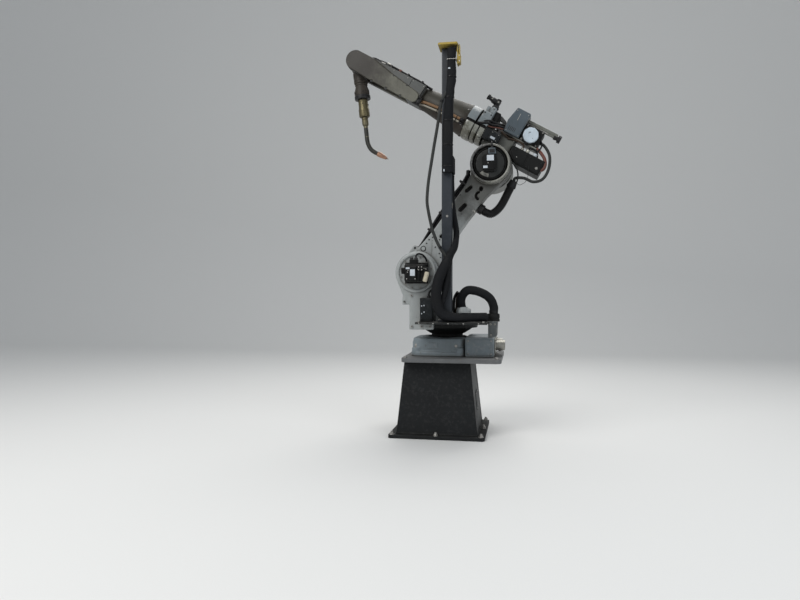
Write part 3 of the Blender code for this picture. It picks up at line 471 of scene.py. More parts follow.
def arc(cx, cz, r, a0, a1, n):
    return [(cx + r * math.cos(math.radians(a0 + (a1 - a0) * i / n)),
             cz + r * math.sin(math.radians(a0 + (a1 - a0) * i / n))) for i in range(n + 1)]


def rounded(x0, z0, x1, z1, r, n=5):
    return (arc(x1 - r, z1 - r, r, 0, 90, n) + arc(x0 + r, z1 - r, r, 90, 180, n)
            + arc(x0 + r, z0 + r, r, 180, 270, n) + arc(x1 - r, z0 + r, r, 270, 360, n))


def circle(cx, cz, r, n=28):
    return arc(cx, cz, r, 0, 360 - 360 / n, n - 1)


SIDE = Matrix.Rotation(math.pi / 2, 4, "X")


def plate(bm, outlines, lo, hi, F=WORLD, mat=0, bevel=0.0, plane="XZ", res=2):
    """Flat outline with holes between two faces, its edges rounded all round."""
    if not isinstance(outlines[0][0], (list, tuple)):
        outlines = [outlines]
    cu = bpy.data.curves.new("plate", "CURVE")
    cu.dimensions = "2D"
    cu.fill_mode = "BOTH"
    cu.resolution_u = 1
    cu.extrude = (hi - lo) / 2 - bevel
    if bevel:
        cu.bevel_depth = bevel
        cu.bevel_resolution = res
        cu.offset = -bevel
    for pts in outlines:
        sp = cu.splines.new("POLY")
        sp.points.add(len(pts) - 1)
        for p, (a, c) in zip(sp.points, pts):
            p.co = (a, c, 0.0, 1.0)
        sp.use_cyclic_u = True
    ob = bpy.data.objects.new("plate", cu)
    scene.collection.objects.link(ob)
    bpy.context.view_layer.update()
    me = bpy.data.meshes.new_from_object(ob.evaluated_get(bpy.context.evaluated_depsgraph_get()))
    b = bmesh.new()
    b.from_mesh(me)
    bmesh.ops.remove_doubles(b, verts=b.verts[:], dist=0.00002)
    bmesh.ops.recalc_face_normals(b, faces=b.faces[:])
    bpy.data.objects.remove(ob, do_unlink=True)
    bpy.data.meshes.remove(me)
    mid = (lo + hi) / 2
    place = Matrix.Translation((0, mid, 0)) @ SIDE if plane == "XZ" else Matrix.Translation((0, 0, mid))
    merge(bm, b, mat, F @ place)


def spline(points, step, tension=0.5):
    pts = [Vector(p) for p in points]
    out = []
    for i in range(len(pts) - 1):
        p0 = pts[i - 1] if i else pts[0] * 2 - pts[1]
        p1, p2 = pts[i], pts[i + 1]
        p3 = pts[i + 2] if i + 2 < len(pts) else pts[-1] * 2 - pts[-2]
        n = max(1, round((p2 - p1).length / step))
        for k in range(n):
            t = k / n
            out.append(0.5 * ((2 * p1) + (p2 - p0) * t + (2 * p0 - 5 * p1 + 4 * p2 - p3) * t * t
                              + (3 * p1 - p0 - 3 * p2 + p3) * t ** 3))
    out.append(pts[-1])
    return out


def tube(bm, points, radius, n=14, F=WORLD, mat=0, step=None, smooth=True, caps=True, shape=None, tip=None):
    """Round tube along a route. radius: number or f(distance, whole length).
    shape(angle, distance): factor on the radius."""
    base_r = radius if not callable(radius) else radius(0.0, 1.0)
    pts = spline(points, step or base_r * 1.2) if smooth else [Vector(p) for p in points]
    s = [0.0]
    for a, b_ in zip(pts, pts[1:]):
        s.append(s[-1] + (b_ - a).length)
    total = s[-1]
    b = bmesh.new()
    rings = []
    t = (pts[1] - pts[0]).normalized()
    u = t.orthogonal().normalized()
    for i, p in enumerate(pts):
        if i == 0:
            d = pts[1] - pts[0]
        elif i == len(pts) - 1:
            d = pts[-1] - pts[-2]
        else:
            d = pts[i + 1] - pts[i - 1]
        d.normalize()
        u = (u - d * u.dot(d)).normalized()
        v = d.cross(u)
        r = radius(s[i], total) if callable(radius) else radius
        ring = []
        for k in range(n):
            a = math.tau * k / n
            rr = r * (shape(a, s[i]) if shape else 1.0)
            ring.append(b.verts.new(p + (u * math.cos(a) + v * math.sin(a)) * rr))
        rings.append(ring)
    for p, q in zip(rings, rings[1:]):
        for k in range(n):
            j = (k + 1) % n
            b.faces.new((p[k], p[j], q[j], q[k]))
    if caps:
        b.faces.new(list(reversed(rings[0])))
        b.faces.new(rings[-1])
    bmesh.ops.recalc_face_normals(b, faces=b.faces[:])
    merge(bm, b, mat, F)


def bolt(bm, p, axis, d, F=WORLD, mat=0, kind="socket", dark=None, washer=True):
    """Fastener head standing on a face: socket, hex, or button (a plain dot)."""
    p, axis = Vector(p), Vector(axis).normalized()
    r = d / 2
    if kind == "socket":
        h = d * 0.62
        lathe(bm, [(r * 0.56, 0), (r * 0.97, 0), (r, 0.05 * d), (r, h - 0.08 * d), (r * 0.92, h), (r * 0.56, h)],
              p, axis, 18, F, mat)
        # dark plug on the socket's floor: painted shade in the recess
        lathe(bm, [(0, 0.001), (r * 0.57, 0.001), (r * 0.57, h * 0.42), (0, h * 0.38)], p, axis, 6, F,
              dark if dark is not None else mat)
    elif kind == "hex":
        h = d * 0.42
        if washer:
            lathe(bm, [(0, 0), (r * 1.30, 0), (r * 1.32, 0.05 * d), (r * 1.26, 0.10 * d), (0, 0.10 * d)], p, axis, 22, F, mat)
        q = p + axis * (0.10 * d if washer else 0)
        lathe(bm, [(0, 0), (r * 1.04, 0), (r * 1.04, h * 0.82), (r * 0.90, h), (0, h)], q, axis, 6, F, mat,
              start=random.Random(int(abs(p.x * 7919 + p.z * 104729) * 1000)).random())
    else:
        lathe(bm, [(0, 0), (r, 0), (r, 0.16 * d), (r * 0.8, 0.32 * d), (r * 0.4, 0.40 * d), (0, 0.42 * d)], p, axis, 14, F, mat)


def piece(name, bm, body, mats, replaces=(), angle=38, cast=None):
    """Turns a bmesh into a finished piece on its body. cast: (voxel, rounds)
    blends the joined shapes into one casting with filleted corners."""
    me = bpy.data.meshes.new(name)
    bm.to_mesh(me)
    bm.free()
    for m in mats:
        me.materials.append(M[m])
    ob = bpy.data.objects.new(name, me)
    scene.collection.objects.link(ob)
    if cast:
        voxel, rounds = cast
        rm = ob.modifiers.new("remesh", "REMESH")
        rm.mode = "VOXEL"
        rm.voxel_size = voxel
        rm.adaptivity = 0.0
        sm = ob.modifiers.new("smooth", "SMOOTH")
        sm.factor = 0.5
        sm.iterations = rounds
        bpy.context.view_layer.update()
        done = bpy.data.meshes.new_from_object(ob.evaluated_get(bpy.context.evaluated_depsgraph_get()))
        ob.modifiers.clear()
        ob.data = done
        bpy.data.meshes.remove(me)
        me = done
        me.name = name
        if not me.materials:
            me.materials.append(M[mats[0]])
        me.shade_smooth()
    else:
        me.shade_smooth()
        me.set_sharp_from_angle(angle=math.radians(angle))
        w = ob.modifiers.new("weighted", "WEIGHTED_NORMAL")
        w.keep_sharp = True
        w.weight = 60
    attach(ob, body)
    if replaces:
        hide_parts(*replaces)
    return ob


# ================================================================= pedestal
bm = bmesh.new()
plate(bm, rounded(-0.325, -0.290, 0.250, 0.290, 0.02), 0.0, 0.0200, plane="XY", bevel=0.0022)
for x, y in ((-0.303, -0.268), (-0.303, 0.0), (-0.303, 0.268), (0.228, -0.268), (0.228, 0.0), (0.228, 0.268),
             (-0.04, -0.268), (-0.04, 0.268)):
    bolt(bm, (x, y, 0.020), (0, 0, 1), 0.024, mat=1, kind="hex")
    rod(bm, (x, y, 0.020), (x, y, 0.041), 0.0075, n=14, mat=1, edge=0.001)
piece("pedestal_floor_plate", bm, "base", ["charcoal", "steel"], ["pedestal_base_plate"])

PED_Z0, PED_Z1 = 0.0203, 0.4547


def ped(u, v, z):
    """Point on the tapered pedestal: u, v from -1 to 1 across X and Y."""
    t = (z - PED_Z0) / (PED_Z1 - PED_Z0)
    xl, xr = -0.280 + 0.043 * t, 0.205 - 0.047 * t
    hy = 0.245 - 0.045 * t
    return Vector(((xl + xr) / 2 + u * (xr - xl) / 2, v * hy, z))


bm = bmesh.new()
b = bmesh.new()
bmesh.ops.create_cube(b, size=2.0)
for v in b.verts:
    v.co = ped(v.co.x, v.co.y, PED_Z1 if v.co.z > 0 else PED_Z0)
bmesh.ops.bevel(b, geom=b.edges[:], offset=0.007, segments=3, affect="EDGES", profile=0.5)
merge(bm, b)


def weld(bm, p, q, r, mat, seed, F=WORLD):
    """Weld bead: a run of overlapping ripples."""
    p, q = Vector(p), Vector(q)
    n = max(4, int((q - p).length / 0.0035))
    rnd = random.Random(seed)
    pts = [p.lerp(q, i / n) for i in range(n + 1)]
    jit = [rnd.uniform(0.85, 1.12) for _ in range(n + 1)]
    step = (q - p).length / n
    tube(bm, pts, lambda s, L: r * jit[min(n, int(round(s / step)))] * (1.0 if int(round(s / step)) % 2 else 0.84),
         n=8, mat=mat, smooth=False, F=F)


for i, (a, c) in enumerate((((-1, -1), (1, -1)), ((1, -1), (1, 1)), ((1, 1), (-1, 1)), ((-1, 1), (-1, -1)))):
    weld(bm, ped(*a, PED_Z0 + 0.0035), ped(*c, PED_Z0 + 0.0035), 0.0042, 0, i)
    weld(bm, ped(*a, PED_Z1 - 0.0035), ped(*c, PED_Z1 - 0.0035), 0.0036, 0, 10 + i)
for u in (-1, 1):                                   # stiffening ribs at the sides
    for v in (-1, 1):
        weld(bm, ped(u * 0.992, v * 0.992, PED_Z0 + 0.004), ped(u * 0.992, v * 0.992, PED_Z1 - 0.004), 0.0036, 0, 20 + 3 * u + v)
cover_c = ped(1.0, 0.0, 0.20)
box(bm, (-0.0025, -0.070, -0.055), (0.0025, 0.070, 0.055), Matrix.Translation(cover_c + Vector((0.0005, 0, 0))) @
    Matrix.Rotation(math.radians(-6.2), 4, "Y"), 0, 0.0015)
for sy in (-0.060, 0.060):
    for sz in (-0.045, 0.045):
        bolt(bm, (0.0025, sy, sz), (1, 0, 0), 0.008, Matrix.Translation(cover_c + Vector((0.0005, 0, 0))) @
             Matrix.Rotation(math.radians(-6.2), 4, "Y"), 1, "button")
piece("pedestal_column", bm, "base", ["charcoal", "steel"], ["pedestal_body"])

bm = bmesh.new()
plate(bm, rounded(-0.245, -0.300, 0.345, 0.300, 0.035, 8), 0.455, 0.480, plane="XY", bevel=0.0025)
for x, y in ((-0.222, -0.272), (-0.222, 0.272), (0.318, -0.272), (0.318, 0.272)):
    bolt(bm, (x, y, 0.480), (0, 0, 1), 0.018, mat=1, kind="socket", dark=2)
piece("pedestal_head_plate", bm, "base", ["plate", "steel", "oxide"], ["pedestal_top_plate"])

# ===================================================================== base
bm = bmesh.new()
plate(bm, rounded(-0.2085, -0.1695, 0.1248, 0.1695, 0.052, 8), 0.4805, 0.507, plane="XY", bevel=0.003)
plate(bm, rounded(-0.199, -0.157, 0.1246, 0.157, 0.058, 8), 0.500, 0.590, plane="XY", bevel=0.010, res=4)
plate(bm, rounded(-0.160, -0.118, 0.110, 0.118, 0.050, 8), 0.580, 0.5945, plane="XY", bevel=0.004)
for sx, sy in ((-0.172, -0.134), (-0.172, 0.134), (0.088, -0.134), (0.088, 0.134)):
    rod(bm, (sx, sy, 0.500), (sx, sy, 0.533), 0.031, n=28, edge=0.004)
box(bm, (-0.2145, -0.095, 0.4806), (-0.180, 0.095, 0.506), bevel=0.006, seg=3)
for y in (-0.085, 0.0, 0.085):
    box(bm, (-0.206, y - 0.006, 0.500), (-0.190, y + 0.006, 0.570), bevel=0.004)
piece("robot_base_casting", bm, "base", ["base"], ["base_casting"], cast=(0.0042, 5))
bm = bmesh.new()
for sx, sy in ((-0.172, -0.134), (-0.172, 0.134), (0.088, -0.134), (0.088, 0.134)):
    lathe(bm, [(0.008, 0), (0.0185, 0), (0.0185, 0.003), (0.008, 0.003)], (sx, sy, 0.533), (0, 0, 1), 24, mat=0)
    bolt(bm, (sx, sy, 0.536), (0, 0, 1), 0.028, mat=0, kind="socket", dark=1)
# dark flange in the gap between base and turret: painted shade
lathe(bm, [(0, 0.6120), (0.094, 0.6120), (0.0975, 0.6105), (0.0975, 0.596), (0.118, 0.5965), (0.121, 0.594), (0.121, 0.588), (0, 0.588)],
      (0, 0, 0), (0, 0, 1), 56, mat=2)
for k in range(12):
    a = math.tau * (k + 0.5) / 12
    bolt(bm, (0.108 * math.cos(a), 0.108 * math.sin(a), 0.5963), (0, 0, 1), 0.009, mat=1, kind="button")
box(bm, (-0.100, -0.1595, 0.528), (-0.040, -0.1565, 0.562), mat=3, bevel=0.0008)          # blank plate
box(bm, (-0.0985, -0.1601, 0.5295), (-0.0415, -0.1592, 0.5605), mat=3, bevel=0.0003)
bolt(bm, (0.070, -0.158, 0.545), (0, -1, 0), 0.014, mat=0, kind="hex")
piece("robot_base_fasteners", bm, "base", ["steel", "oxide", "dark_cast", "base"], ())

bm = bmesh.new()
box(bm, (0.1256, -0.1670, 0.4805), (0.2965, 0.1670, 0.5965), bevel=0.006, seg=3)
for y0, y1 in ((-0.1700, -0.1655), (0.1655, 0.1700)):
    box(bm, (0.136, y0, 0.492), (0.288, y1, 0.586), bevel=0.0018)
box(bm, (0.138, -0.150, 0.5955), (0.286, 0.150, 0.5998), bevel=0.0018)
for x in (0.144, 0.280):
    for z in (0.500, 0.578):
        bolt(bm, (x, -0.1700, z), (0, -1, 0), 0.009, mat=1, kind="button")
        bolt(bm, (x, 0.1700, z), (0, 1, 0), 0.009, mat=1, kind="button")
box(bm, (0.2955, -0.150, 0.486), (0.2979, 0.150, 0.594), bevel=0.001)
piece("base_terminal_box", bm, "base", ["base", "steel"], ["base_connector_box"])

bm = bmesh.new()
box(bm, (0.2983, -0.120, 0.498), (0.3058, 0.120, 0.586), bevel=0.002)
for y in (-0.112, 0.112):
    for z in (0.505, 0.579):
        bolt(bm, (0.3058, y, z), (1, 0, 0), 0.008, mat=0, kind="socket", dark=1)
for y, z, r, ln in ((-0.080, 0.545, 0.030, 0.060), (0.000, 0.545, 0.030, 0.060), (0.075, 0.560, 0.018, 0.042)):
    e = 0.302
    lathe(bm, [(r * 0.62, 0.0), (r * 0.93, 0.0), (r * 0.93, ln * 0.30), (r, ln * 0.34), (r, ln * 0.80), (r * 0.94, ln * 0.86),
               (r * 0.94, ln - (e - 0.300) - 0.001), (r * 0.86, ln - 0.003), (r * 0.78, ln - 0.003), (r * 0.78, ln * 0.55), (r * 0.62, ln * 0.5)],
          (e, y, z), (1, 0, 0), 48, mat=0, ripple=((3, 4), 24, r * 0.05))
    lathe(bm, [(0, ln * 0.30), (r * 0.74, ln * 0.30), (r * 0.74, ln * 0.74), (0, ln * 0.74)], (e, y, z), (1, 0, 0), 28, mat=1)
    m = 12 if r > 0.02 else 5
    for k in range(m):
        a = math.tau * k / m
        rod(bm, (e + ln * 0.74, y + r * 0.46 * math.cos(a), z + r * 0.46 * math.sin(a)),
            (e + ln * 0.84, y + r * 0.46 * math.cos(a), z + r * 0.46 * math.sin(a)), r * 0.055, n=8, mat=0)
lathe(bm, [(0.004, 0), (0.012, 0), (0.012, 0.012), (0.0135, 0.013), (0.0135, 0.024), (0.010, 0.028), (0.004, 0.028)],
      (0.3015, 0.075, 0.520), (1, 0, 0), 6, mat=2)
piece("base_plug_sockets", bm, "base", ["zinc", "oxide", "brass"], ["base_connectors"])

# =================================================================== turret
bm = bmesh.new()
# dark ring under the turret's overhang: painted shade
lathe(bm, [(0, 0.6893), (0.186, 0.6893), (0.1895, 0.686), (0.1895, 0.656), (0.186, 0.6515), (0.160, 0.650), (0.142, 0.636),
           (0.108, 0.6145), (0.100, 0.613), (0, 0.613)], (0, 0, 0), (0, 0, 1), 72, mat=0)
for k in range(18):
    a = math.tau * (k + 0.3) / 18
    rod(bm, (0.1860 * math.cos(a), 0.1860 * math.sin(a), 0.671), (0.1898 * math.cos(a), 0.1898 * math.sin(a), 0.671), 0.004, n=8, mat=1)
piece("waist_ring", bm, "turret", ["dark_cast", "oxide"], ())

bm = bmesh.new()
prof = [(-0.183, 0.6805), (0.093, 0.6805), (0.093, 0.738), (0.043, 0.766), (-0.036, 0.820), (-0.183, 0.820)]
plate(bm, prof, -0.2392, 0.138, bevel=0.010, res=3)
plate(bm, [(-0.158, 0.74), (0.018, 0.74), (0.018, 0.842), (-0.006, 0.858), (-0.158, 0.858)], 0.062, 0.113, bevel=0.010, res=3)
for x in (-0.150, -0.090):
    rod(bm, (x, 0.060, 0.800), (x, 0.139, 0.800), 0.026, n=28, edge=0.003)
rod(bm, (-0.176, -0.055, 0.750), (-0.1845, -0.055, 0.750), 0.046, n=36, edge=0.002)
rod(bm, (0.085, -0.060, 0.715), (0.0945, -0.060, 0.715), 0.024, n=28, edge=0.002)
lathe(bm, [(0, 0.70), (0.172, 0.70), (0.172, 0.690), (0, 0.690)], (0, 0, 0), (0, 0, 1), 64)
piece("turret_body", bm, "turret", ["light"], ["turret_casting"], cast=(0.0045, 5))
bm = bmesh.new()
for k in range(8):
    a = math.tau * k / 8
    bolt(bm, (-0.1845, -0.055 + 0.037 * math.cos(a), 0.750 + 0.037 * math.sin(a)), (-1, 0, 0), 0.009, mat=0, kind="socket", dark=1)
for x in (-0.150, -0.090):
    bolt(bm, (x, 0.139, 0.800), (0, 1, 0), 0.020, mat=0, kind="hex")
for x, y in ((-0.165, -0.215), (-0.165, 0.020), (-0.060, 0.030), (-0.060, -0.215)):
    bolt(bm, (x, y, 0.8195), (0, 0, 1), 0.014, mat=0, kind="socket", dark=1)
piece("turret_fasteners", bm, "turret", ["steel", "oxide"], ())

# shoulder bracket: plate with its disc, rim and ledge
bm = bmesh.new()
outline = (arc(L_X, L_Z, 0.1262, -35, 205, 40)
           + [(-0.2315, 0.850), (-0.2350, 0.8310), (-0.2350, 0.7965), (-0.1935, 0.7965), (-0.1935, 0.6500), (-0.0515, 0.6500),
              (-0.0515, 0.6890), (-0.0310, 0.6890), (-0.0310, 0.880)])
plate(bm, outline, -0.2990, -0.2408, bevel=0.0045, res=3)
plate(bm, [(-0.226, 0.868), (-0.0420, 0.868), (-0.0420, 0.700), (-0.185, 0.700), (-0.185, 0.802), (-0.226, 0.802)],
      -0.2999, -0.290, bevel=0.003)
plate(bm, [circle(L_X, L_Z, 0.1175, 56), circle(L_X, L_Z, 0.100, 48)], -0.3138, -0.295, bevel=0.0035, res=2)
plate(bm, circle(L_X, L_Z, 0.104, 48), -0.3060, -0.295, bevel=0.002)
piece("shoulder_side_plate", bm, "turret", ["light"], ["shoulder_bracket"], cast=(0.0034, 3))
bm = bmesh.new()
for k in range(12):
    a = math.tau * (k + 0.5) / 12
    bolt(bm, (L_X + 0.091 * math.cos(a), -0.3060, L_Z + 0.091 * math.sin(a)), (0, -1, 0), 0.0095, mat=0, kind="socket", dark=1)
for x, z in ((-0.176, 0.668), (-0.120, 0.668), (-0.068, 0.668), (-0.2215, 0.814), (-0.178, 0.850), (-0.052, 0.850)):
    bolt(bm, (x, -0.2996, z), (0, -1, 0), 0.0125, mat=0, kind="socket", dark=1)
piece("shoulder_fasteners", bm, "turret", ["steel", "oxide"], ())

# waist motor
bm = bmesh.new()
box(bm, (-0.1185, -0.3738, 0.7028), (-0.0445, -0.3008, 0.8378), bevel=0.005, seg=3)
box(bm, (-0.1120, -0.3750, 0.712), (-0.0520, -0.3700, 0.828), bevel=0.0022)
for k in range(7):
    z = 0.722 + k * 0.0165
    box(bm, (-0.0450, -0.364, z), (-0.0440, -0.310, z + 0.006), bevel=0.0004)
for x in (-0.1075, -0.0935):
    bolt(bm, (x, -0.3748, 0.7915 if x < -0.1 else 0.7935), (0, -1, 0), 0.0085, mat=1, kind="button")
    bolt(bm, (x, -0.3748, 0.7475 if x < -0.1 else 0.7560), (0, -1, 0), 0.0085, mat=1, kind="button")
for x in (-0.1070, -0.0565):
    for z in (0.7175, 0.8225):
        bolt(bm, (x, -0.3750, z), (0, -1, 0), 0.0075, mat=2, kind="socket", dark=2)
rod(bm, (-0.070, -0.345, 0.8370), (-0.070, -0.345, 0.8500), 0.012, n=18, mat=2, edge=0.001)
tube(bm, [(-0.070, -0.345, 0.846), (-0.070, -0.345, 0.862), (-0.060, -0.338, 0.880), (-0.045, -0.325, 0.885), (-0.034, -0.305, 0.880)],
     0.0060, n=10, mat=3, step=0.006)
piece("waist_motor", bm, "turret", ["motor_grey", "label", "oxide", "rubber"], ["s_axis_motor"])

# shoulder motor: stepped black housing with blank plates and plugs
bm = bmesh.new()
box(bm, (-0.2120, -0.3360, 0.9210), (-0.0760, -0.3145, 1.0430), bevel=0.005, seg=3)
box(bm, (-0.2030, -0.4180, 0.9300), (-0.0860, -0.3300, 1.0320), bevel=0.010, seg=3)
box(bm, (-0.1960, -0.4300, 0.9360), (-0.1100, -0.4100, 1.0260), bevel=0.006, seg=3)
box(bm, (-0.1900, -0.4480, 0.9400), (-0.1280, -0.4200, 1.0180), bevel=0.008, seg=3)
box(bm, (-0.1760, -0.4000, 1.0200), (-0.1280, -0.3560, 1.0600), bevel=0.005, seg=3)
box(bm, (-0.1260, -0.4350, 0.9900), (-0.0900, -0.3900, 1.0220), bevel=0.005, seg=3)
box(bm, (-0.0960, -0.4240, 0.9560), (-0.0640, -0.3720, 1.0150), bevel=0.005, seg=3)
box(bm, (-0.2210, -0.4140, 0.9760), (-0.1960, -0.3620, 1.0110), bevel=0.004, seg=3)
for k in range(9):                                    # cooling ribs
    z = 0.938 + k * 0.0105
    box(bm, (-0.2040, -0.3980, z), (-0.2022, -0.3400, z + 0.0045), bevel=0.0005)
    box(bm, (-0.0868, -0.3980, z), (-0.0850, -0.3400, z + 0.0045), bevel=0.0005)
box(bm, (-0.1640, -0.4492, 0.9640), (-0.1360, -0.4472, 1.0010), mat=1, bevel=0.0006)        # blank plates
box(bm, (-0.1880, -0.4492, 1.0020), (-0.1660, -0.4472, 1.0120), mat=1, bevel=0.0006)
for x, z in ((-0.1780, 0.985), (-0.1830, 0.9470), (-0.1340, 0.9470), (-0.1750, 0.9960)):
    bolt(bm, (x, -0.4478, z), (0, -1, 0), 0.0070, mat=2, kind="button")
for x, z in ((-0.117, 1.014), (-0.099, 1.014), (-0.117, 0.998), (-0.099, 0.998), (-0.088, 1.005), (-0.076, 0.968), (-0.076, 1.003)):
    bolt(bm, (x, -0.4348 if x < -0.09 else -0.4238, z), (0, -1, 0), 0.0080, mat=2, kind="button")
for x in (-0.2030, -0.0850):
    for z in (0.9300, 1.0340):
        bolt(bm, (x, -0.3360, z), (0, -1, 0), 0.011, mat=3, kind="socket", dark=3)
for x, z in ((-0.166, 1.060), (-0.140, 1.060)):
    lathe(bm, [(0, 0), (0.0105, 0), (0.0105, 0.010), (0.0085, 0.013), (0, 0.013)], (x, -0.378, z - 0.002), (0, 0, 1), 18, mat=3)
tube(bm, [(-0.140, -0.378, 1.068), (-0.140, -0.376, 1.082), (-0.128, -0.366, 1.092), (-0.108, -0.350, 1.088), (-0.092, -0.332, 1.070),
          (-0.086, -0.322, 1.050)], 0.0055, n=10, mat=4, step=0.006)
piece("shoulder_motor", bm, "turret", ["motor_black", "label", "steel", "oxide", "rubber"], ["l_axis_motor"])

bm = bmesh.new()
pa, pb = Vector((-0.064, -0.452, 0.986)), Vector((-0.080, -0.452, 0.930))
d = (pb - pa).normalized()
ln = (pb - pa).length
lathe(bm, [(0, 0), (0.0095, 0.0), (0.0118, 0.0025), (0.0132, 0.008), (0.0132, 0.026), (0.0122, 0.028), (0.0132, 0.030),
           (0.0132, ln - 0.008), (0.0115, ln - 0.002), (0.008, ln), (0, ln)], pa, d, 28, mat=0, ripple=((4, 6), 14, 0.0006))
rod(bm, (-0.072, -0.452, 0.958), (-0.072, -0.4253, 0.958), 0.0098, n=18, mat=1, edge=0.001)
piece("shoulder_motor_plug", bm, "turret", ["cream", "oxide"], ["l_motor_plug"])


# ------------------------------------------------------------ tray and mast
bm = bmesh.new()
plate(bm, [(-0.1325, -0.4662), (0.2715, -0.4662), (0.2715, -0.2407), (-0.0196, -0.2407), (-0.0196, -0.3007), (-0.1325, -0.3007)],
      0.6904, 0.7015, plane="XY", bevel=0.0012)
box(bm, (-0.1329, -0.4668, 0.6905), (0.2719, -0.4650, 0.7016), bevel=0.0006)
for x in (-0.110, -0.030, 0.055, 0.140, 0.225):
    bolt(bm, (x, -0.4667, 0.696), (0, -1, 0), 0.0068, mat=1, kind="button")
for x, y in ((-0.115, -0.452), (0.250, -0.452), (0.250, -0.262), (0.115, -0.262)):
    bolt(bm, (x, y, 0.7014), (0, 0, 1), 0.014, mat=1, kind="hex")
piece("side_tray", bm, "turret", ["tray", "steel"], ["cable_tray"])

bm = bmesh.new()
wedge = [(0.2726, 0.7055), (0.3255, 0.7055), (0.3216, 0.6225), (0.2920, 0.6104), (0.2726, 0.6104)]
plate(bm, wedge, -0.3797, -0.2463, bevel=0.004, res=3)
plate(bm, [(0.279, 0.698), (0.3195, 0.698), (0.3165, 0.627), (0.293, 0.619), (0.279, 0.619)], -0.3800, -0.3775, mat=0, bevel=0.0010)
for x, z in ((0.287, 0.690), (0.311, 0.690), (0.289, 0.629)):
    bolt(bm, (x, -0.3799, z), (0, -1, 0), 0.0095, mat=1, kind="socket", dark=2)
lathe(bm, [(0.027, 0.7030), (0.0355, 0.7030), (0.0355, 0.717), (0.0330, 0.7185), (0.0330, 0.7215), (0.0355, 0.723), (0.0355, 0.7395),
           (0.0330, 0.7455), (0.0330, 0.7475), (0.027, 0.7475)], (0.300, -0.300, 0), (0, 0, 1), 48, mat=3,
      ripple=((5, 6), 16, 0.0016))
piece("rear_hose_bracket", bm, "turret", ["wedge", "steel", "oxide", "dark_cast"], ["tray_rear_bracket"])

bm = bmesh.new()
box(bm, (0.0100, -0.4000, 0.7026), (0.0680, -0.3420, 2.2498), bevel=0.0065, seg=4)
plate(bm, rounded(-0.0115, -0.4095, 0.0895, -0.3305, 0.006), 0.7026, 0.7130, plane="XY", bevel=0.0012)
for x in (-0.0035, 0.0795):
    for y in (-0.400, -0.342):
        bolt(bm, (x, y, 0.7128), (0, 0, 1), 0.0110, mat=1, kind="hex", washer=False)
for p, q in (((0.012, -0.4008, 0.7145), (0.066, -0.4008, 0.7145)), ((0.0688, -0.398, 0.7145), (0.0688, -0.344, 0.7145)),
             ((0.0092, -0.398, 0.7145), (0.0092, -0.344, 0.7145)), ((0.012, -0.3412, 0.7145), (0.066, -0.3412, 0.7145))):
    weld(bm, p, q, 0.0028, 0, int(1000 * abs(p[0])))
for x, z in ((0.0415, 1.303), (0.0230, 1.020)):
    lathe(bm, [(0.0030, 0), (0.0062, 0), (0.0062, 0.0010), (0.0030, 0.0010)], (x, -0.3995, z), (0, -1, 0), 18, mat=1)
    lathe(bm, [(0, -0.004), (0.0032, -0.004), (0.0032, 0.0006), (0, 0.0006)], (x, -0.3995, z), (0, -1, 0), 6, mat=2)
for z in (1.35, 1.95):                                 # clips on the right face
    box(bm, (0.0675, -0.388, z), (0.0700, -0.354, z + 0.030), mat=1, bevel=0.0006)
piece("mast_post", bm, "turret", ["blue", "steel", "oxide"], ["mast_tube"])

bm = bmesh.new()
plate(bm, rounded(-0.0055, -0.4615, 0.1035, -0.3265, 0.010), 2.2507, 2.2617, plane="XY", bevel=0.0012)
box(bm, (0.0990, -0.4355, 2.1465), (0.1065, -0.3845, 2.2615), bevel=0.0015)
box(bm, (0.0990, -0.4355, 2.1500), (0.1195, -0.3845, 2.2060), bevel=0.0070, seg=3)
box(bm, (0.1100, -0.4355, 2.2060), (0.1150, -0.3845, 2.2560), bevel=0.0015)
for z in (2.163, 2.193):
    rod(bm, (0.1130, -0.4357, z), (0.1130, -0.3843, z), 0.0036, n=10, mat=1)
for x, y in ((0.004, -0.452), (0.004, -0.336), (0.094, -0.336)):
    rod(bm, (x, y, 2.2503), (x, y, 2.2619), 0.0045, n=12, mat=1)
piece("mast_head_plate", bm, "turret", ["yellow", "steel", "oxide"], ["mast_head_clamp"])

# ------------------------------------------------- sleeve, hoses on the mast
STATIONS = ((1.5455, 0.0125, 0.0735), (1.670, 0.0145, 0.0785), (1.800, 0.0175, 0.0805), (1.910, 0.0265, 0.0815),
            (2.010, 0.0375, 0.0875), (2.060, 0.0415, 0.0965), (2.105, 0.0435, 0.0975), (2.160, 0.0445, 0.0935),
            (2.2345, 0.0445, 0.0965))
TIES = (1.580, 1.700, 1.835, 1.965, 2.078, 2.172)


def station(z):
    for a, b_ in zip(STATIONS, STATIONS[1:]):
        if z <= b_[0]:
            t = (z - a[0]) / (b_[0] - a[0])
            t = t * t * (3 - 2 * t)
            return a[1] + (b_[1] - a[1]) * t, a[2] + (b_[2] - a[2]) * t
    return STATIONS[-1][1:]


def sleeve_ring(z, inset=0.0, lumps=True, n=34):
    xl, xr = station(z)
    c = Vector(((xl + xr) / 2, -0.4275, z))
    hx, hy = (xr - xl) / 2 - inset, 0.0262 - inset
    out = []
    pinch = max(math.exp(-((z - t) / 0.012) ** 2) for t in TIES)
    for k in range(n):
        a = math.tau * k / n
        ca, sa = math.cos(a), math.sin(a)
        f = (abs(ca) ** 2.6 + abs(sa) ** 2.6) ** (-1 / 2.6)
        if lumps:
            v = noise.noise(Vector((ca * 1.3, sa * 1.3, z * 9.0))) * 0.5 + noise.noise(Vector((ca * 3, sa * 3, z * 26.0 + 7))) * 0.25
            flute = 0.5 - 0.5 * math.cos(3.0 * a + 2.2 * math.sin(z * 4.0))
            f *= 1.0 - 0.055 * (0.5 + v) - 0.06 * flute - 0.055 * pinch
        out.append(c + Vector((hx * f * ca, hy * f * sa, 0)))
    return out


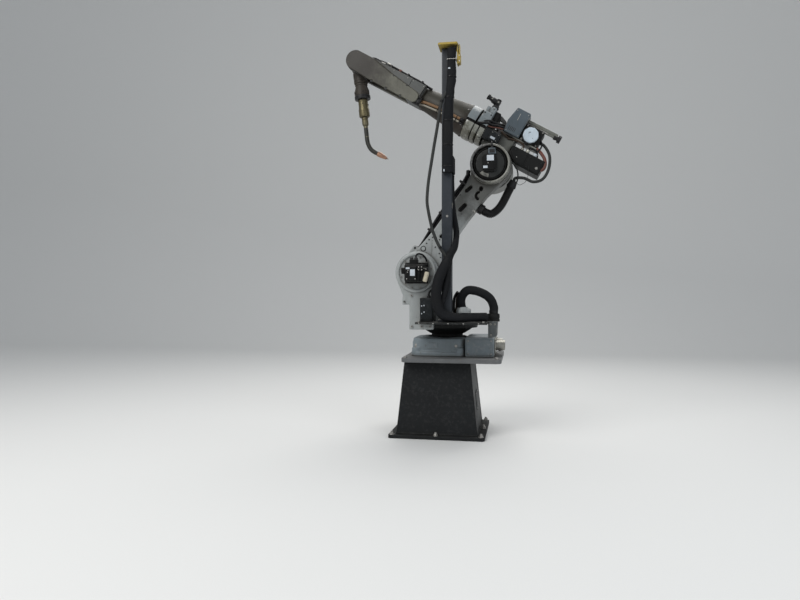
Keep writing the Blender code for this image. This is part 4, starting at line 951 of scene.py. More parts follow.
def loft(bm, rings, mat=0):
    b = bmesh.new()
    vs = [[b.verts.new(p) for p in r] for r in rings]
    n = len(vs[0])
    for p, q in zip(vs, vs[1:]):
        for k in range(n):
            j = (k + 1) % n
            b.faces.new((p[k], p[j], q[j], q[k]))
    b.faces.new(vs[0])
    b.faces.new(vs[-1])
    bmesh.ops.recalc_face_normals(b, faces=b.faces[:])
    merge(bm, b, mat)


bm = bmesh.new()
zs = [1.5455 + (2.2345 - 1.5455) * i / 150 for i in range(151)]
loft(bm, [sleeve_ring(z) for z in zs])
plate(bm, [(0.0686, -0.4007), (0.0686, -0.3414), (0.0384, -0.3414), (0.0375, -0.3265), (0.0442, -0.3200), (0.0718, -0.3200),
           (0.0800, -0.3284), (0.0806, -0.4248), (0.0738, -0.4415), (0.0582, -0.4455), (0.0505, -0.4250), (0.0505, -0.4007)],
      1.5455, 1.6395, plane="XY", bevel=0.006, res=3)
for z in TIES:                                          # cable ties with their heads
    ring = [p for p in sleeve_ring(z, -0.0006, lumps=False)]
    lo_r = [p + Vector((0, 0, -0.0024)) for p in sleeve_ring(z, 0.0006, lumps=False)]
    loft(bm, [lo_r, [p + Vector((0, 0, 0.0048)) for p in lo_r]], mat=1)
    xl, xr = station(z)
    box(bm, ((xl + xr) / 2 - 0.006, -0.4538, z - 0.0035), ((xl + xr) / 2 + 0.001, -0.4500, z + 0.0040), mat=1, bevel=0.0008)
box(bm, (0.0520, -0.4536, 2.1160), (0.0640, -0.4505, 2.1235), mat=2, bevel=0.0008)       # pale tie ends
box(bm, (0.0265, -0.4536, 1.5470), (0.0325, -0.4480, 1.5600), mat=2, bevel=0.0008)
box(bm, (0.0440, -0.4540, 2.1690), (0.0980, -0.4500, 2.1725), mat=3, bevel=0.0008)       # clamp strap
box(bm, (0.0935, -0.4530, 2.1670), (0.1000, -0.3950, 2.1745), mat=3, bevel=0.0008)
piece("mast_cable_sleeve", bm, "turret", ["sleeve", "tie", "label", "steel"], ["mast_sleeve"], angle=60)


def tube4(bm, points, n=20, mat=0, step=0.006, wrinkle=0.0, pitch=0.02, seed=0.0, flute=0):
    """Hose whose route points carry the radius as a fourth value."""
    pts4 = spline(points, step)
    b = bmesh.new()
    rings, s = [], 0.0
    u = None
    for i, p4 in enumerate(pts4):
        p = Vector(p4[:3])
        a, c = Vector(pts4[max(0, i - 1)][:3]), Vector(pts4[min(len(pts4) - 1, i + 1)][:3])
        d = (c - a).normalized()
        if i:
            s += (p - Vector(pts4[i - 1][:3])).length
        if u is None:
            u = d.orthogonal().normalized()
        u = (u - d * u.dot(d)).normalized()
        v = d.cross(u)
        ring = []
        for k in range(n):
            ang = math.tau * k / n
            w = noise.noise(Vector((math.cos(ang) * 1.2, math.sin(ang) * 1.2, s / pitch + seed)))
            w2 = noise.noise(Vector((math.cos(ang) * 3.0, math.sin(ang) * 3.0, s / pitch * 2.6 + seed)))
            f = 1.0 - wrinkle * (0.5 + 0.6 * w + 0.3 * w2)
            if flute:
                f *= 1.0 - 0.045 * (0.5 - 0.5 * math.cos(flute * ang + s * 9.0))
            ring.append(b.verts.new(p + (u * math.cos(ang) + v * math.sin(ang)) * p4[3] * f))
        rings.append(ring)
    for p, q in zip(rings, rings[1:]):
        for k in range(n):
            j = (k + 1) % n
            b.faces.new((p[k], p[j], q[j], q[k]))
    b.faces.new(list(reversed(rings[0])))
    b.faces.new(rings[-1])
    bmesh.ops.recalc_face_normals(b, faces=b.faces[:])
    merge(bm, b, mat)


MAST_ROUTE = [(0.058, -0.3230, 1.5444, 0.0180), (0.058, -0.3230, 1.500, 0.0180), (0.060, -0.3230, 1.400, 0.0180),
              (0.070, -0.3225, 1.318, 0.0180), (0.081, -0.3230, 1.258, 0.0180), (0.0885, -0.335, 1.215, 0.0180),
              (0.0895, -0.362, 1.175, 0.0180), (0.0890, -0.395, 1.145, 0.0185), (0.0850, -0.4200, 1.120, 0.0200),
              (0.066, -0.4270, 1.090, 0.0235), (0.042, -0.4325, 1.040, 0.0280), (0.014, -0.4370, 0.982, 0.0310),
              (-0.006, -0.4400, 0.925, 0.0310), (-0.015, -0.4400, 0.862, 0.0310), (-0.008, -0.4390, 0.800, 0.0310),
              (0.018, -0.4370, 0.748, 0.0300), (0.080, -0.436, 0.7300, 0.0270), (0.150, -0.432, 0.7300, 0.0270),
              (0.215, -0.415, 0.7300, 0.0270), (0.262, -0.385, 0.7300, 0.0270)]
bm = bmesh.new()
tube4(bm, MAST_ROUTE, n=28, step=0.006, wrinkle=0.055, pitch=0.055, flute=3)
tube4(bm, [(0.079, -0.440, 1.105, 0.010), (0.064, -0.434, 1.060, 0.013), (0.054, -0.4245, 1.000, 0.016), (0.047, -0.4225, 0.940, 0.017),
           (0.036, -0.4225, 0.885, 0.017), (0.022, -0.4225, 0.835, 0.016), (0.012, -0.423, 0.790, 0.014)],
      n=22, step=0.006, wrinkle=0.06, pitch=0.04, seed=5.0)
piece("mast_hose_bundle", bm, "turret", ["sleeve"], ["mast_hose"], angle=70)

SLACK_ROUTE = [(0.048, -0.4300, 2.000), (0.026, -0.4400, 1.965), (0.012, -0.4430, 1.932), (-0.009, -0.4400, 1.804), (-0.025, -0.4390, 1.713),
               (-0.041, -0.4390, 1.616), (-0.058, -0.4390, 1.509), (-0.066, -0.4390, 1.431), (-0.0675, -0.4390, 1.377), (-0.060, -0.4390, 1.326),
               (-0.050, -0.4390, 1.276), (-0.036, -0.4400, 1.219), (-0.011, -0.4420, 1.155), (0.017, -0.4440, 1.105), (0.044, -0.4380, 1.068)]
bm = bmesh.new()                                        # slack hose that bows out beside the mast
tube(bm, SLACK_ROUTE, 0.0088, n=18, mat=0, step=0.008)
slack_hose = piece("mast_slack_hose", bm, "turret", ["hose_grey"], ())
bm = bmesh.new()                                        # its two ties
for x, z in ((0.0150, 1.9400), (0.0080, 1.1210)):
    rod(bm, (x - 0.0035, -0.4436, z + 0.005), (x + 0.0035, -0.4436, z - 0.005), 0.0102, n=18, mat=0)
slack_ties = piece("mast_slack_ties", bm, "turret", ["tie"], ())

bm = bmesh.new()
LOOP_ROUTE = [(0.122, -0.298, 0.7026), (0.122, -0.298, 0.750), (0.114, -0.312, 0.830), (0.150, -0.325, 0.880),
              (0.216, -0.325, 0.874), (0.275, -0.312, 0.840), (0.300, -0.300, 0.790), (0.300, -0.300, 0.7486)]
tube4(bm, [(*p, 0.0258) for p in LOOP_ROUTE], n=30, step=0.0035, wrinkle=0.045, pitch=0.022, seed=2.0)
for z, c in ((0.757, (0.300, -0.300)),):
    lathe(bm, [(0.020, 0), (0.0259, 0), (0.0259, 0.016), (0.020, 0.016)], (c[0], c[1], z - 0.008), (0, 0, 1), 32, mat=1)
piece("harness_hose_loop", bm, "turret", ["sleeve", "tie"], ["harness_loop"], angle=70)

bm = bmesh.new()                                        # entry block and stubs at the foot of the loop
plate(bm, rounded(0.0905, -0.338, 0.1600, -0.2620, 0.020, 6), 0.7030, 0.7500, plane="XY", bevel=0.005, res=3)
lathe(bm, [(0.0262, 0.7480), (0.0380, 0.7480), (0.0380, 0.7600), (0.0300, 0.7850), (0.0262, 0.7860)], (0.1215, -0.2995, 0), (0, 0, 1), 40)
box(bm, (0.140, -0.322, 0.742), (0.170, -0.290, 0.778), bevel=0.009, seg=3)
piece("harness_entry_block", bm, "turret", ["light"], (), cast=(0.0026, 3))
bm = bmesh.new()
tube(bm, [(0.085, -0.262, 0.735), (0.087, -0.266, 0.790), (0.090, -0.268, 0.830), (0.104, -0.272, 0.865)], 0.0110, n=16, mat=0, step=0.008)
tube(bm, [(0.070, -0.258, 0.735), (0.066, -0.262, 0.790), (0.072, -0.266, 0.840), (0.092, -0.284, 0.872)], 0.0085, n=14, mat=1, step=0.008)
for x in (0.085, 0.070):
    lathe(bm, [(0, 0.7025), (0.0150, 0.7025), (0.0150, 0.738), (0.0125, 0.741), (0, 0.741)], (x, -0.260, 0), (0, 0, 1), 6, mat=2)
piece("harness_stubs", bm, "turret", ["hose_brown", "rubber", "oxide"], ())

# ================================================================ lower arm
NEAR, FAR = 0.235, 0.120
arm_edge = (arc(0, 0, 0.1155, 35, -215, 40)
            + [(-0.0855, 0.120), (-0.0715, 0.200), (-0.0675, 0.300), (-0.0695, 0.420), (-0.0775, 0.520), (-0.0835, 0.600),
               (-0.0995, 0.660)]
            + arc(0, L_ARM, 0.1215, 203, -28, 36)
            + [(0.0675, 0.660), (0.0575, 0.590), (0.0595, 0.520), (0.0635, 0.400), (0.0655, 0.280), (0.0755, 0.180)])


def slot_hole(x0, z0, x1, z1, r, n=8):
    a = math.degrees(math.atan2(z1 - z0, x1 - x0))
    return arc(x1, z1, r, a - 90, a + 90, n) + arc(x0, z0, r, a + 90, a + 270, n)


def crescent(cx, cz, r0, r1, a0, a1, n=12):
    return arc(cx, cz, r1, a0, a1, n) + arc(cx, cz, r0, a1, a0, n)


POCKETS = [slot_hole(0.0010, 0.4480, -0.0060, 0.4840, 0.0125),
           crescent(-0.0480, 0.5780, 0.0150, 0.0290, 62, -112),
           slot_hole(0.0330, 0.5600, 0.0240, 0.5900, 0.0105),
           slot_hole(-0.0330, 0.6120, -0.0300, 0.6200, 0.0110),
           slot_hole(0.0060, 0.2560, 0.0020, 0.2660, 0.0105)]
bm = bmesh.new()
plate(bm, arm_edge, FAR + 0.0005, 0.1900, ARM, bevel=0.007, res=3)
plate(bm, [arm_edge] + POCKETS, 0.1780, NEAR - 0.0006, ARM, bevel=0.003, res=2)
rod(bm, (0, 0.150, 0), (0, 0.2394, 0), 0.0845, n=56, F=ARM)
rod(bm, (0, 0.1206, 0), (0, 0.150, 0), 0.1050, n=56, F=ARM)
for x, z, r, h in ((0.0460, 0.2230, 0.0120, 0.0022), (0.0040, 0.2100, 0.0120, 0.0016), (-0.0540, 0.5000, 0.0150, 0.0)):
    rod(bm, (x, 0.2300, z), (x, NEAR - 0.0002 + 0 * h, z), r, n=24, F=ARM)
for x, z, w in ((0.1010, 0.1130, 0.0150), (0.0550, 0.1370, 0.0110)):     # lugs over the shoulder
    box(bm, (x - w, 0.150, z - 0.050), (x + w, 0.2260, z - 0.002), ARM, bevel=0.0035)
    rod(bm, (x, 0.145, z), (x, 0.2270, z), w + 0.0005, n=26, F=ARM)
box(bm, (0.052, 0.1365, 0.062), (0.120, 0.2150, 0.112), ARM, bevel=0.010, seg=3)
piece("lower_arm_body", bm, "lower_arm", ["arm"], ["lower_arm_casting"], cast=(0.0034, 2))

bm = bmesh.new()
for shape in POCKETS:                                   # dark plates on the pocket floors: painted shade
    plate(bm, shape, 0.1893, 0.1912, ARM, 1)
for x, z in ((0.0460, 0.2230), (0.0040, 0.2350), (0.0000, 0.1840), (-0.0410, 0.1660), (-0.0605, 0.1510), (0.0560, 0.2000), (0.0560, 0.1740)):
    bolt(bm, (x, NEAR - 0.0012, z), (0, 1, 0), 0.0085, F=ARM, mat=1, kind="button")
for k in range(9):                                     # bolt circle over the shoulder hub
    a = math.radians(28 + k * 17)
    bolt(bm, (0.1020 * math.cos(a), NEAR - 0.0012, 0.1020 * math.sin(a)), (0, 1, 0), 0.0095, F=ARM, mat=1, kind="socket", dark=1)
for x, z in ((-0.1300, 0.7425), (-0.1160, 0.7100)):
    bolt(bm, (x + 0.016, NEAR - 0.0012, z - 0.006), (0, 1, 0), 0.0120, F=ARM, mat=0, kind="socket", dark=1)
for x, z in ((-0.0210, 0.4315), (-0.0540, 0.5000), (0.0430, 0.3600), (-0.0440, 0.3300), (0.0480, 0.5200)):
    lathe(bm, [(0, -0.006), (0.0052, -0.006), (0.0052, 0.0006), (0, 0.0006)], (x, NEAR - 0.0012, z), (0, 1, 0), 18, ARM, 2)
lathe(bm, [(0, 0), (0.0085, 0), (0.0085, 0.004), (0.0060, 0.006), (0.0040, 0.013), (0, 0.013)], (-0.0700, 0.2290, 0.4860), (-0.4, 1, 0), 12, ARM, 0)
rod(bm, (-0.0690, 0.214, 0.484), (-0.0800, 0.214, 0.484), 0.0090, n=6, F=ARM, mat=0)
rod(bm, (0.0550, NEAR - 0.004, 0.1370), (0.0550, NEAR + 0.0004, 0.1370), 0.0165, n=30, F=ARM, mat=1)
rod(bm, (0.0550, NEAR - 0.004, 0.1370), (0.0550, NEAR + 0.0030, 0.1370), 0.0118, n=28, F=ARM, mat=3, edge=0.0012)
for sx, sz in ((0.1010, 0.1130),):
    bolt(bm, (sx, 0.2265, sz), (0, 1, 0), 0.0120, F=ARM, mat=1, kind="hex", washer=False)
for a in range(0, 360, 30):                            # far side
    bolt(bm, (0.096 * math.cos(math.radians(a)), FAR + 0.0008, 0.096 * math.sin(math.radians(a))), (0, -1, 0), 0.0095, F=ARM,
         mat=1, kind="socket", dark=1) if a % 60 else None
piece("lower_arm_fasteners", bm, "lower_arm", ["steel", "oxide", "oxide", "light"], ())

bm = bmesh.new()                                       # black hose and thin cable along the upper edge
edge = [(0.0880, 0.160, 0.070), (0.0850, 0.163, 0.110), (0.0835, 0.166, 0.160), (0.0850, 0.172, 0.230), (0.0890, 0.178, 0.300),
        (0.0900, 0.180, 0.400), (0.0860, 0.180, 0.500), (0.0800, 0.180, 0.580), (0.0840, 0.176, 0.640), (0.1000, 0.165, 0.668)]
tube(bm, edge, 0.0130, n=18, F=ARM, mat=0, step=0.012)
tube(bm, [(x + 0.003, y + 0.0225, z) for x, y, z in edge[:-1]], 0.0075, n=12, F=ARM, mat=1, step=0.012)
tube(bm, [(x - 0.0130, y + 0.012, z) for x, y, z in edge[1:-1]], 0.0070, n=12, F=ARM, mat=1, step=0.012)
for z in (0.250, 0.370, 0.490, 0.590):
    box(bm, (0.058, 0.1620, z - 0.007), (0.1040, 0.2130, z + 0.007), ARM, 2, bevel=0.003)
piece("lower_arm_hoses", bm, "lower_arm", ["rubber", "rubber", "oxide"], ())

# collar ring round the elbow motor
bm = bmesh.new()
lathe(bm, [(0.1012, 0.2356), (0.1158, 0.2356), (0.1158, 0.2700), (0.1146, 0.2720), (0.1146, 0.2760), (0.1156, 0.2780),
           (0.1142, 0.2965), (0.1120, 0.3002), (0.1075, 0.3016), (0.1030, 0.2998), (0.1012, 0.2960)], (0, 0, L_ARM), (0, 1, 0), 96, ARM, 0)
piece("elbow_collar_ring", bm, "lower_arm", ["collar"], ["u_axis_collar"])

# elbow motor cap, its face seen from the front
bm = bmesh.new()
C = (0, 0, L_ARM)
lathe(bm, [(0, 0.2356), (0.0980, 0.2356), (0.0982, 0.2780), (0.0965, 0.2830), (0.0930, 0.2868), (0.0880, 0.2885), (0.0862, 0.2860),
           (0.0850, 0.2800), (0, 0.2800)], C, (0, 1, 0), 84, ARM, 0)
lathe(bm, [(0, 0.2790), (0.0835, 0.2830), (0.0835, 0.2868), (0.0815, 0.2890), (0.0700, 0.2905), (0, 0.2905)], C, (0, 1, 0), 72, ARM, 1)
TURN = Matrix.Rotation(L_LEAN, 4, "Y")                 # upright in the world on the leaning arm
CAP = ARM @ Matrix.Translation(C) @ Matrix.Rotation(L_LEAN, 4, "Y")
plate(bm, rounded(-0.0370, -0.0500, 0.0430, 0.0500, 0.022, 8), 0.2895, 0.3055, CAP, 2, bevel=0.004, res=3)
plate(bm, rounded(-0.0280, -0.0400, 0.0420, 0.0480, 0.014, 7), 0.3040, 0.3105, CAP, 2, bevel=0.0025)
box(bm, (-0.0230, 0.3098, 0.0120), (0.0170, 0.3112, 0.0440), CAP, 3, bevel=0.0004)          # blank plates
box(bm, (0.0130, 0.3098, -0.0300), (0.0380, 0.3112, -0.0160), CAP, 3, bevel=0.0004)
bolt(bm, (0.0100, 0.3100, -0.0010), (0, 1, 0), 0.0070, F=CAP, mat=4, kind="button")
for x, z in ((-0.029, -0.043), (0.035, -0.043), (-0.030, 0.043)):
    bolt(bm, (x, 0.3050, z), (0, 1, 0), 0.0065, F=CAP, mat=5, kind="socket", dark=5)
# light crescent on the cap's lower left: painted highlight
plate(bm, arc(0, 0, 0.0820, -84, -44, 10) + arc(0, 0, 0.0600, -44, -84, 10), 0.2895, 0.2985, CAP, 6, bevel=0.0035, res=3)
plate(bm, [(-0.0360, 0.0520), (0.0100, 0.0520), (0.0080, 0.0860), (-0.0300, 0.0860)], 0.2890, 0.3075, CAP, 7, bevel=0.003)   # connector
box(bm, (-0.0280, 0.3000, 0.0570), (0.0030, 0.3095, 0.0800), CAP, 5, bevel=0.002)
rod(bm, (-0.0120, 0.3000, 0.0840), (-0.0120, 0.2995, 0.0935), 0.0075, n=16, F=CAP, mat=5, edge=0.001)
tube(bm, [(-0.0120, 0.2990, 0.0900), (-0.0120, 0.3020, 0.1000), (-0.0110, 0.3045, 0.1080), (-0.0100, 0.3020, 0.1180), (-0.0090, 0.2880, 0.1240),
          (-0.0080, 0.2620, 0.1230), (-0.0070, 0.2300, 0.1140)], 0.0042, n=12, F=CAP, mat=5, step=0.004)
for k in range(8):
    a = math.tau * (k + 0.5) / 8
    bolt(bm, (0.0770 * math.cos(a), 0.2898, L_ARM + 0.0770 * math.sin(a)), (0, 1, 0), 0.0070, F=ARM, mat=5, kind="socket", dark=5)
piece("elbow_motor_cap", bm, "lower_arm", ["motor_black", "disc_grey", "motor_black", "label", "steel", "oxide", "collar", "feeder"],
      ["u_axis_motor"])

# conduit from the lower arm, its gland and cuff
bm = bmesh.new()
lathe(bm, [(0.0180, 0.0816), (0.0305, 0.0816), (0.0305, 0.0930), (0.0285, 0.0945), (0.0308, 0.0960), (0.0308, 0.1050), (0.0290, 0.1075), (0.0180, 0.1075)],
      (0, 0.178, 0.520), (-1, 0, 0), 48, ARM, 0, ripple=((4, 5), 12, 0.0022))
piece("conduit_gland_nut", bm, "lower_arm", ["oxide"], ["conduit_gland"])
c0 = ARM @ Vector((-0.1084, 0.178, 0.520))
CONDUIT = [c0, ARM @ Vector((-0.1260, 0.178, 0.520)), Vector((0.277, -0.178, 1.334)), Vector((0.308, -0.178, 1.350)),
           Vector((0.336, -0.178, 1.380)), Vector((0.358, -0.178, 1.418)), Vector((0.376, -0.178, 1.455)), Vector((0.393, -0.178, 1.488))]
bm = bmesh.new()
tube(bm, CONDUIT, lambda s, L: 0.0249 - 0.0030 * (0.5 + 0.5 * math.cos(math.tau * s / 0.0068)) ** 1.5, n=32, mat=0, step=0.00125)
piece("elbow_corrugated_conduit", bm, "lower_arm", ["conduit"], ["elbow_conduit"], angle=80)
cdir = (CONDUIT[-1] - CONDUIT[-2]).normalized()
cb = CONDUIT[-1]
bm = bmesh.new()
lathe(bm, [(0.0100, 0.0006), (0.0275, 0.0006), (0.0287, 0.0030), (0.0278, 0.0110), (0.0260, 0.0125), (0.0268, 0.0140), (0.0235, 0.0330),
           (0.0222, 0.0345), (0.0218, 0.0415), (0.0100, 0.0415)], cb, cdir, 40, mat=0, ripple=((1, 2, 3), 14, 0.0012))
piece("conduit_end_cuff", bm, "lower_arm", ["rubber"], ["conduit_cuff"])
bm = bmesh.new()                                        # thin cables beside the conduit's end
cp = cb + 0.030 * cdir
tube(bm, [Vector((0.380, -0.190, 1.640)), Vector((0.398, -0.192, 1.633)), Vector((0.416, -0.193, 1.617)), Vector((0.429, -0.193, 1.592)),
          Vector((0.435, -0.193, 1.562)), Vector((0.433, -0.192, 1.532)), Vector((0.424, -0.190, 1.508)), cp + Vector((0.010, -0.012, 0.004))],
     0.0042, n=12, mat=0, step=0.006)
lathe(bm, [(0, 0), (0.0085, 0), (0.0085, 0.007), (0.0060, 0.010), (0, 0.010)], (0.379, -0.190, 1.6405), (0.93, 0, -0.36), 6, mat=0)
piece("conduit_side_cable", bm, "lower_arm", ["hose_grey"], ())

# ================================================================ upper arm
bm = bmesh.new()
elbow_edge = (arc(0, 0, 0.1275, 52, -232, 48)
              + [(-0.0395, 0.130), (-0.0395, 0.2275), (0.1492, 0.2275), (0.1492, 0.126), (0.1275, 0.104)])
plate(bm, elbow_edge, -0.1045, 0.0475, UP, bevel=0.009, res=3)
rod(bm, (0, 0.040, 0), (0, 0.1125, 0), 0.1275, n=64, F=UP, edge=0.005)
rod(bm, (0, 0.090, 0), (0, 0.1192, 0), 0.0845, n=56, F=UP)
lathe(bm, [(0, 0.1215), (0.0845, 0.1215), (0.0915, 0.1155), (0.0915, 0.095), (0, 0.095)], (0, 0, 0), (0, -1, 0), 56, UP)
for z in (0.140, 0.180, 0.214):
    box(bm, (-0.030, 0.0400, z - 0.004), (0.030, 0.0478, z + 0.004), UP, bevel=0.002)
plate(bm, [(0.060, 0.118), (0.140, 0.118), (0.140, 0.2200), (-0.030, 0.2200), (-0.030, 0.150), (0.045, 0.150)], 0.0440, 0.0478, UP, bevel=0.0012)
piece("elbow_body", bm, "upper_arm", ["upper"], ["elbow_casting"], cast=(0.0042, 4))
bm = bmesh.new()
for k in range(10):
    a = math.tau * (k + 0.5) / 10
    bolt(bm, (0.074 * math.cos(a), -0.1214, 0.074 * math.sin(a)), (0, -1, 0), 0.0095, F=UP, mat=1, kind="socket", dark=1)
for k in range(7):
    a = math.radians(118 + k * 26)
    bolt(bm, (0.1180 * math.cos(a), 0.1120, 0.1180 * math.sin(a)), (0, 1, 0), 0.0090, F=UP, mat=0, kind="socket", dark=1)
for x, z in ((-0.030, 0.217), (0.137, 0.132)):
    bolt(bm, (x, 0.0472, z), (0, 1, 0), 0.0110, F=UP, mat=0, kind="socket", dark=1)
piece("elbow_fasteners", bm, "upper_arm", ["steel", "oxide"], ())

# roll-axis housing: an upper and a lower lobe with a dark groove between
def sector(bm, profile, a0, a1, origin, n=40, F=WORLD, mat=0):
    """Part of a turned ring about the X axis: closed (radius, x) outline
    swept from a0 to a1 degrees, 0 toward +Y and 90 toward +Z."""
    b = bmesh.new()
    rings = []
    for i in range(n + 1):
        a = math.radians(a0 + (a1 - a0) * i / n)
        rings.append([b.verts.new((h, r * math.cos(a), r * math.sin(a))) for r, h in profile])
    m = len(profile)
    for p, q in zip(rings, rings[1:]):
        for k in range(m):
            j = (k + 1) % m
            b.faces.new((p[k], p[j], q[j], q[k]))
    b.faces.new(rings[0])
    b.faces.new(rings[-1])
    bmesh.ops.recalc_face_normals(b, faces=b.faces[:])
    merge(bm, b, mat, F @ Matrix.Translation(origin))


AXIS_R = (0, 0, RZ)
bm = bmesh.new()
lathe(bm, [(0, 0.1505), (0.0940, 0.1505), (0.0950, 0.1515), (0.0950, 0.2205), (0.0940, 0.2215), (0, 0.2215)], AXIS_R, (1, 0, 0), 80, UP, 1)
# upper parts take the blue-tinted silver and lower parts the beige-tinted one: painted sky and warm reflections
sector(bm, [(0.080, 0.1508), (0.1010, 0.1508), (0.1040, 0.1540), (0.1068, 0.1600), (0.1068, 0.2100), (0.1045, 0.2145), (0.080, 0.2145)],
       5, 175, AXIS_R, 48, UP, 0)
sector(bm, [(0.080, 0.1508), (0.1000, 0.1508), (0.1030, 0.1535), (0.1030, 0.1840), (0.1005, 0.1868), (0.080, 0.1868)],
       -175, -5, AXIS_R, 48, UP, 2)
sector(bm, [(0.080, 0.1930), (0.1015, 0.1930), (0.1055, 0.1962), (0.1068, 0.2010), (0.1068, 0.2190), (0.1050, 0.2212), (0.080, 0.2212)],
       -175, -5, AXIS_R, 48, UP, 2)
box(bm, (0.1515, -0.060, RZ + 0.0300), (0.2135, 0.0870, RZ + 0.0960), UP, 0, bevel=0.011, seg=4)      # upper block
box(bm, (0.1512, -0.060, RZ - 0.0800), (0.1860, 0.0900, RZ - 0.0200), UP, 2, bevel=0.012, seg=4)      # lower block
box(bm, (0.1512, -0.0610, 0.2700), (0.1860, 0.0700, 0.3390), UP, 0, bevel=0.010, seg=3)
box(bm, (0.1930, -0.0560, 0.2760), (0.2125, 0.0600, 0.3330), UP, 0, bevel=0.006, seg=3)
box(bm, (0.1850, -0.0560, 0.2720), (0.1940, 0.0570, 0.3300), UP, 0, bevel=0.001)
box(bm, (0.1180, -0.0420, 0.2380), (0.1500, 0.0460, 0.3250), UP, 1, bevel=0.005, seg=3)               # dark block behind
box(bm, (0.1100, -0.0320, 0.2500), (0.1190, 0.0380, 0.3100), UP, 1, bevel=0.003)
plate(bm, [(0.1120, 0.2960), (0.1120, 0.3190), (0.0700, 0.3020), (0.0640, 0.2890), (0.0640, 0.2800), (0.0780, 0.2840)], -0.022, 0.030, UP, 3, bevel=0.003)
piece("roll_housing", bm, "upper_arm", ["upper_light", "dark_cast", "lobe", "collar"], ["r_axis_housing"])
bm = bmesh.new()
tube(bm, [(0.2165, 0.0900, RZ + 0.004), (0.2120, 0.1000, RZ + 0.005), (0.2000, 0.1060, RZ + 0.008), (0.1840, 0.1070, RZ + 0.014), (0.1660, 0.1040, RZ + 0.024),
          (0.1500, 0.0960, RZ + 0.032), (0.1250, 0.0800, RZ + 0.038), (0.0980, 0.0640, RZ + 0.050), (0.0700, 0.0520, RZ + 0.056), (0.0540, 0.0460, RZ + 0.058)],
     0.0068, n=14, F=UP, mat=0, step=0.006)
tube(bm, [(0.1840, 0.0960, RZ + 0.026), (0.1660, 0.0960, RZ + 0.040), (0.1480, 0.0850, RZ + 0.050), (0.1240, 0.0660, RZ + 0.056), (0.0980, 0.0520, RZ + 0.064),
          (0.0720, 0.0400, RZ + 0.072), (0.0560, 0.0340, RZ + 0.074)], 0.0075, n=14, F=UP, mat=0, step=0.006)
tube(bm, [(0.1500, 0.0880, RZ + 0.018), (0.1300, 0.0800, RZ + 0.022), (0.1100, 0.0700, RZ + 0.030), (0.0850, 0.0640, RZ + 0.040), (0.0600, 0.0580, RZ + 0.046)],
     0.0048, n=12, F=UP, mat=3, step=0.006)
for s in (-1, 1):
    for k in range(5):
        a = math.radians(90 + s * (24 + 24 * k))
        if abs(math.sin(a)) < 0.12:
            continue
        bolt(bm, (0.1515, 0.092 * math.cos(a), RZ + 0.092 * math.sin(a)), (-1, 0, 0), 0.0085, F=UP, mat=1, kind="socket", dark=2)
for x, z in ((0.1620, 0.2820), (0.2030, 0.2820), (0.1620, 0.1320), (0.1620, 0.1680)):
    lathe(bm, [(0, 0), (0.0046, 0), (0.0046, 0.0010), (0, 0.0010)], (x, 0.0868 if z > 0.2 else 0.0897, z), (0, 1, 0), 16, UP, 2)
for y, z in ((0.0695, 0.326),):
    bolt(bm, (0.1675, y, z), (0, 1, 0), 0.0085, F=UP, mat=1, kind="socket", dark=2)
piece("roll_housing_details", bm, "upper_arm", ["rubber", "steel", "oxide", "red"], ())

bm = bmesh.new()
box(bm, (0.0465, 0.0486, 0.1425), (0.1110, 0.1090, 0.2055), UP, 0, bevel=0.0055, seg=3)
box(bm, (0.1110, 0.0500, 0.1440), (0.1180, 0.1070, 0.2040), UP, 0, bevel=0.0022)
box(bm, (0.1175, 0.0486, 0.1425), (0.1490, 0.1100, 0.2055), UP, 0, bevel=0.0045, seg=3)
box(bm, (0.0560, 0.1080, 0.1500), (0.1050, 0.1116, 0.1980), UP, 0, bevel=0.0018)
box(bm, (0.0700, 0.1110, 0.1560), (0.1000, 0.1120, 0.1700), UP, 1, bevel=0.0004)
for x in (0.0600, 0.1010):
    for z in (0.1545, 0.1940):
        if z > 0.17 or x < 0.09:
            bolt(bm, (x, 0.1110, z), (0, 1, 0), 0.0058, F=UP, mat=2, kind="button")
for x, z in ((0.1260, 0.1500), (0.1420, 0.1500), (0.1260, 0.1980), (0.1420, 0.1980)):
    bolt(bm, (x, 0.1098, z), (0, 1, 0), 0.0062, F=UP, mat=3, kind="socket", dark=3)
rod(bm, (0.0700, 0.0800, 0.2050), (0.0700, 0.0800, 0.2230), 0.0120, n=20, F=UP, mat=3, edge=0.001)
tube(bm, [(0.0700, 0.0800, 0.2200), (0.0640, 0.0790, 0.2250), (0.0500, 0.0720, 0.2240), (0.0300, 0.0600, 0.2200), (0.0100, 0.0500, 0.2180)],
     0.0060, n=12, F=UP, mat=4, step=0.006)
piece("roll_motor", bm, "upper_arm", ["motor_grey", "label", "steel", "oxide", "hose_brown"], ["r_axis_motor"])

# black elbow fitting on top of the housing
bm = bmesh.new()
lathe(bm, [(0, 0.3406), (0.0228, 0.3406), (0.0228, 0.3500), (0.0195, 0.3530), (0.0195, 0.3600), (0.0170, 0.3640), (0, 0.3640)],
      (0.174, 0.010, 0), (0, 0, 1), 36, UP, 0)
lathe(bm, [(0, 0.0), (0.0150, 0.0), (0.0185, 0.0060), (0.0188, 0.0200), (0.0165, 0.0225), (0.0165, 0.0290), (0.0188, 0.0310),
           (0.0188, 0.0520), (0.0160, 0.0560), (0.0140, 0.0565), (0.0140, 0.0780), (0.0175, 0.0790), (0.0175, 0.0890), (0.0120, 0.0895), (0, 0.0880)],
      (0.160, 0.010, 0.3762), (0.090, 0, 0.0138), 40, UP, 0, ripple=((11, 12), 18, 0.0010))
lathe(bm, [(0, 0.3600), (0.0148, 0.3600), (0.0148, 0.4005), (0.0125, 0.4035), (0, 0.4035)], (0.174, 0.010, 0), (0, 0, 1), 6, UP, 0)
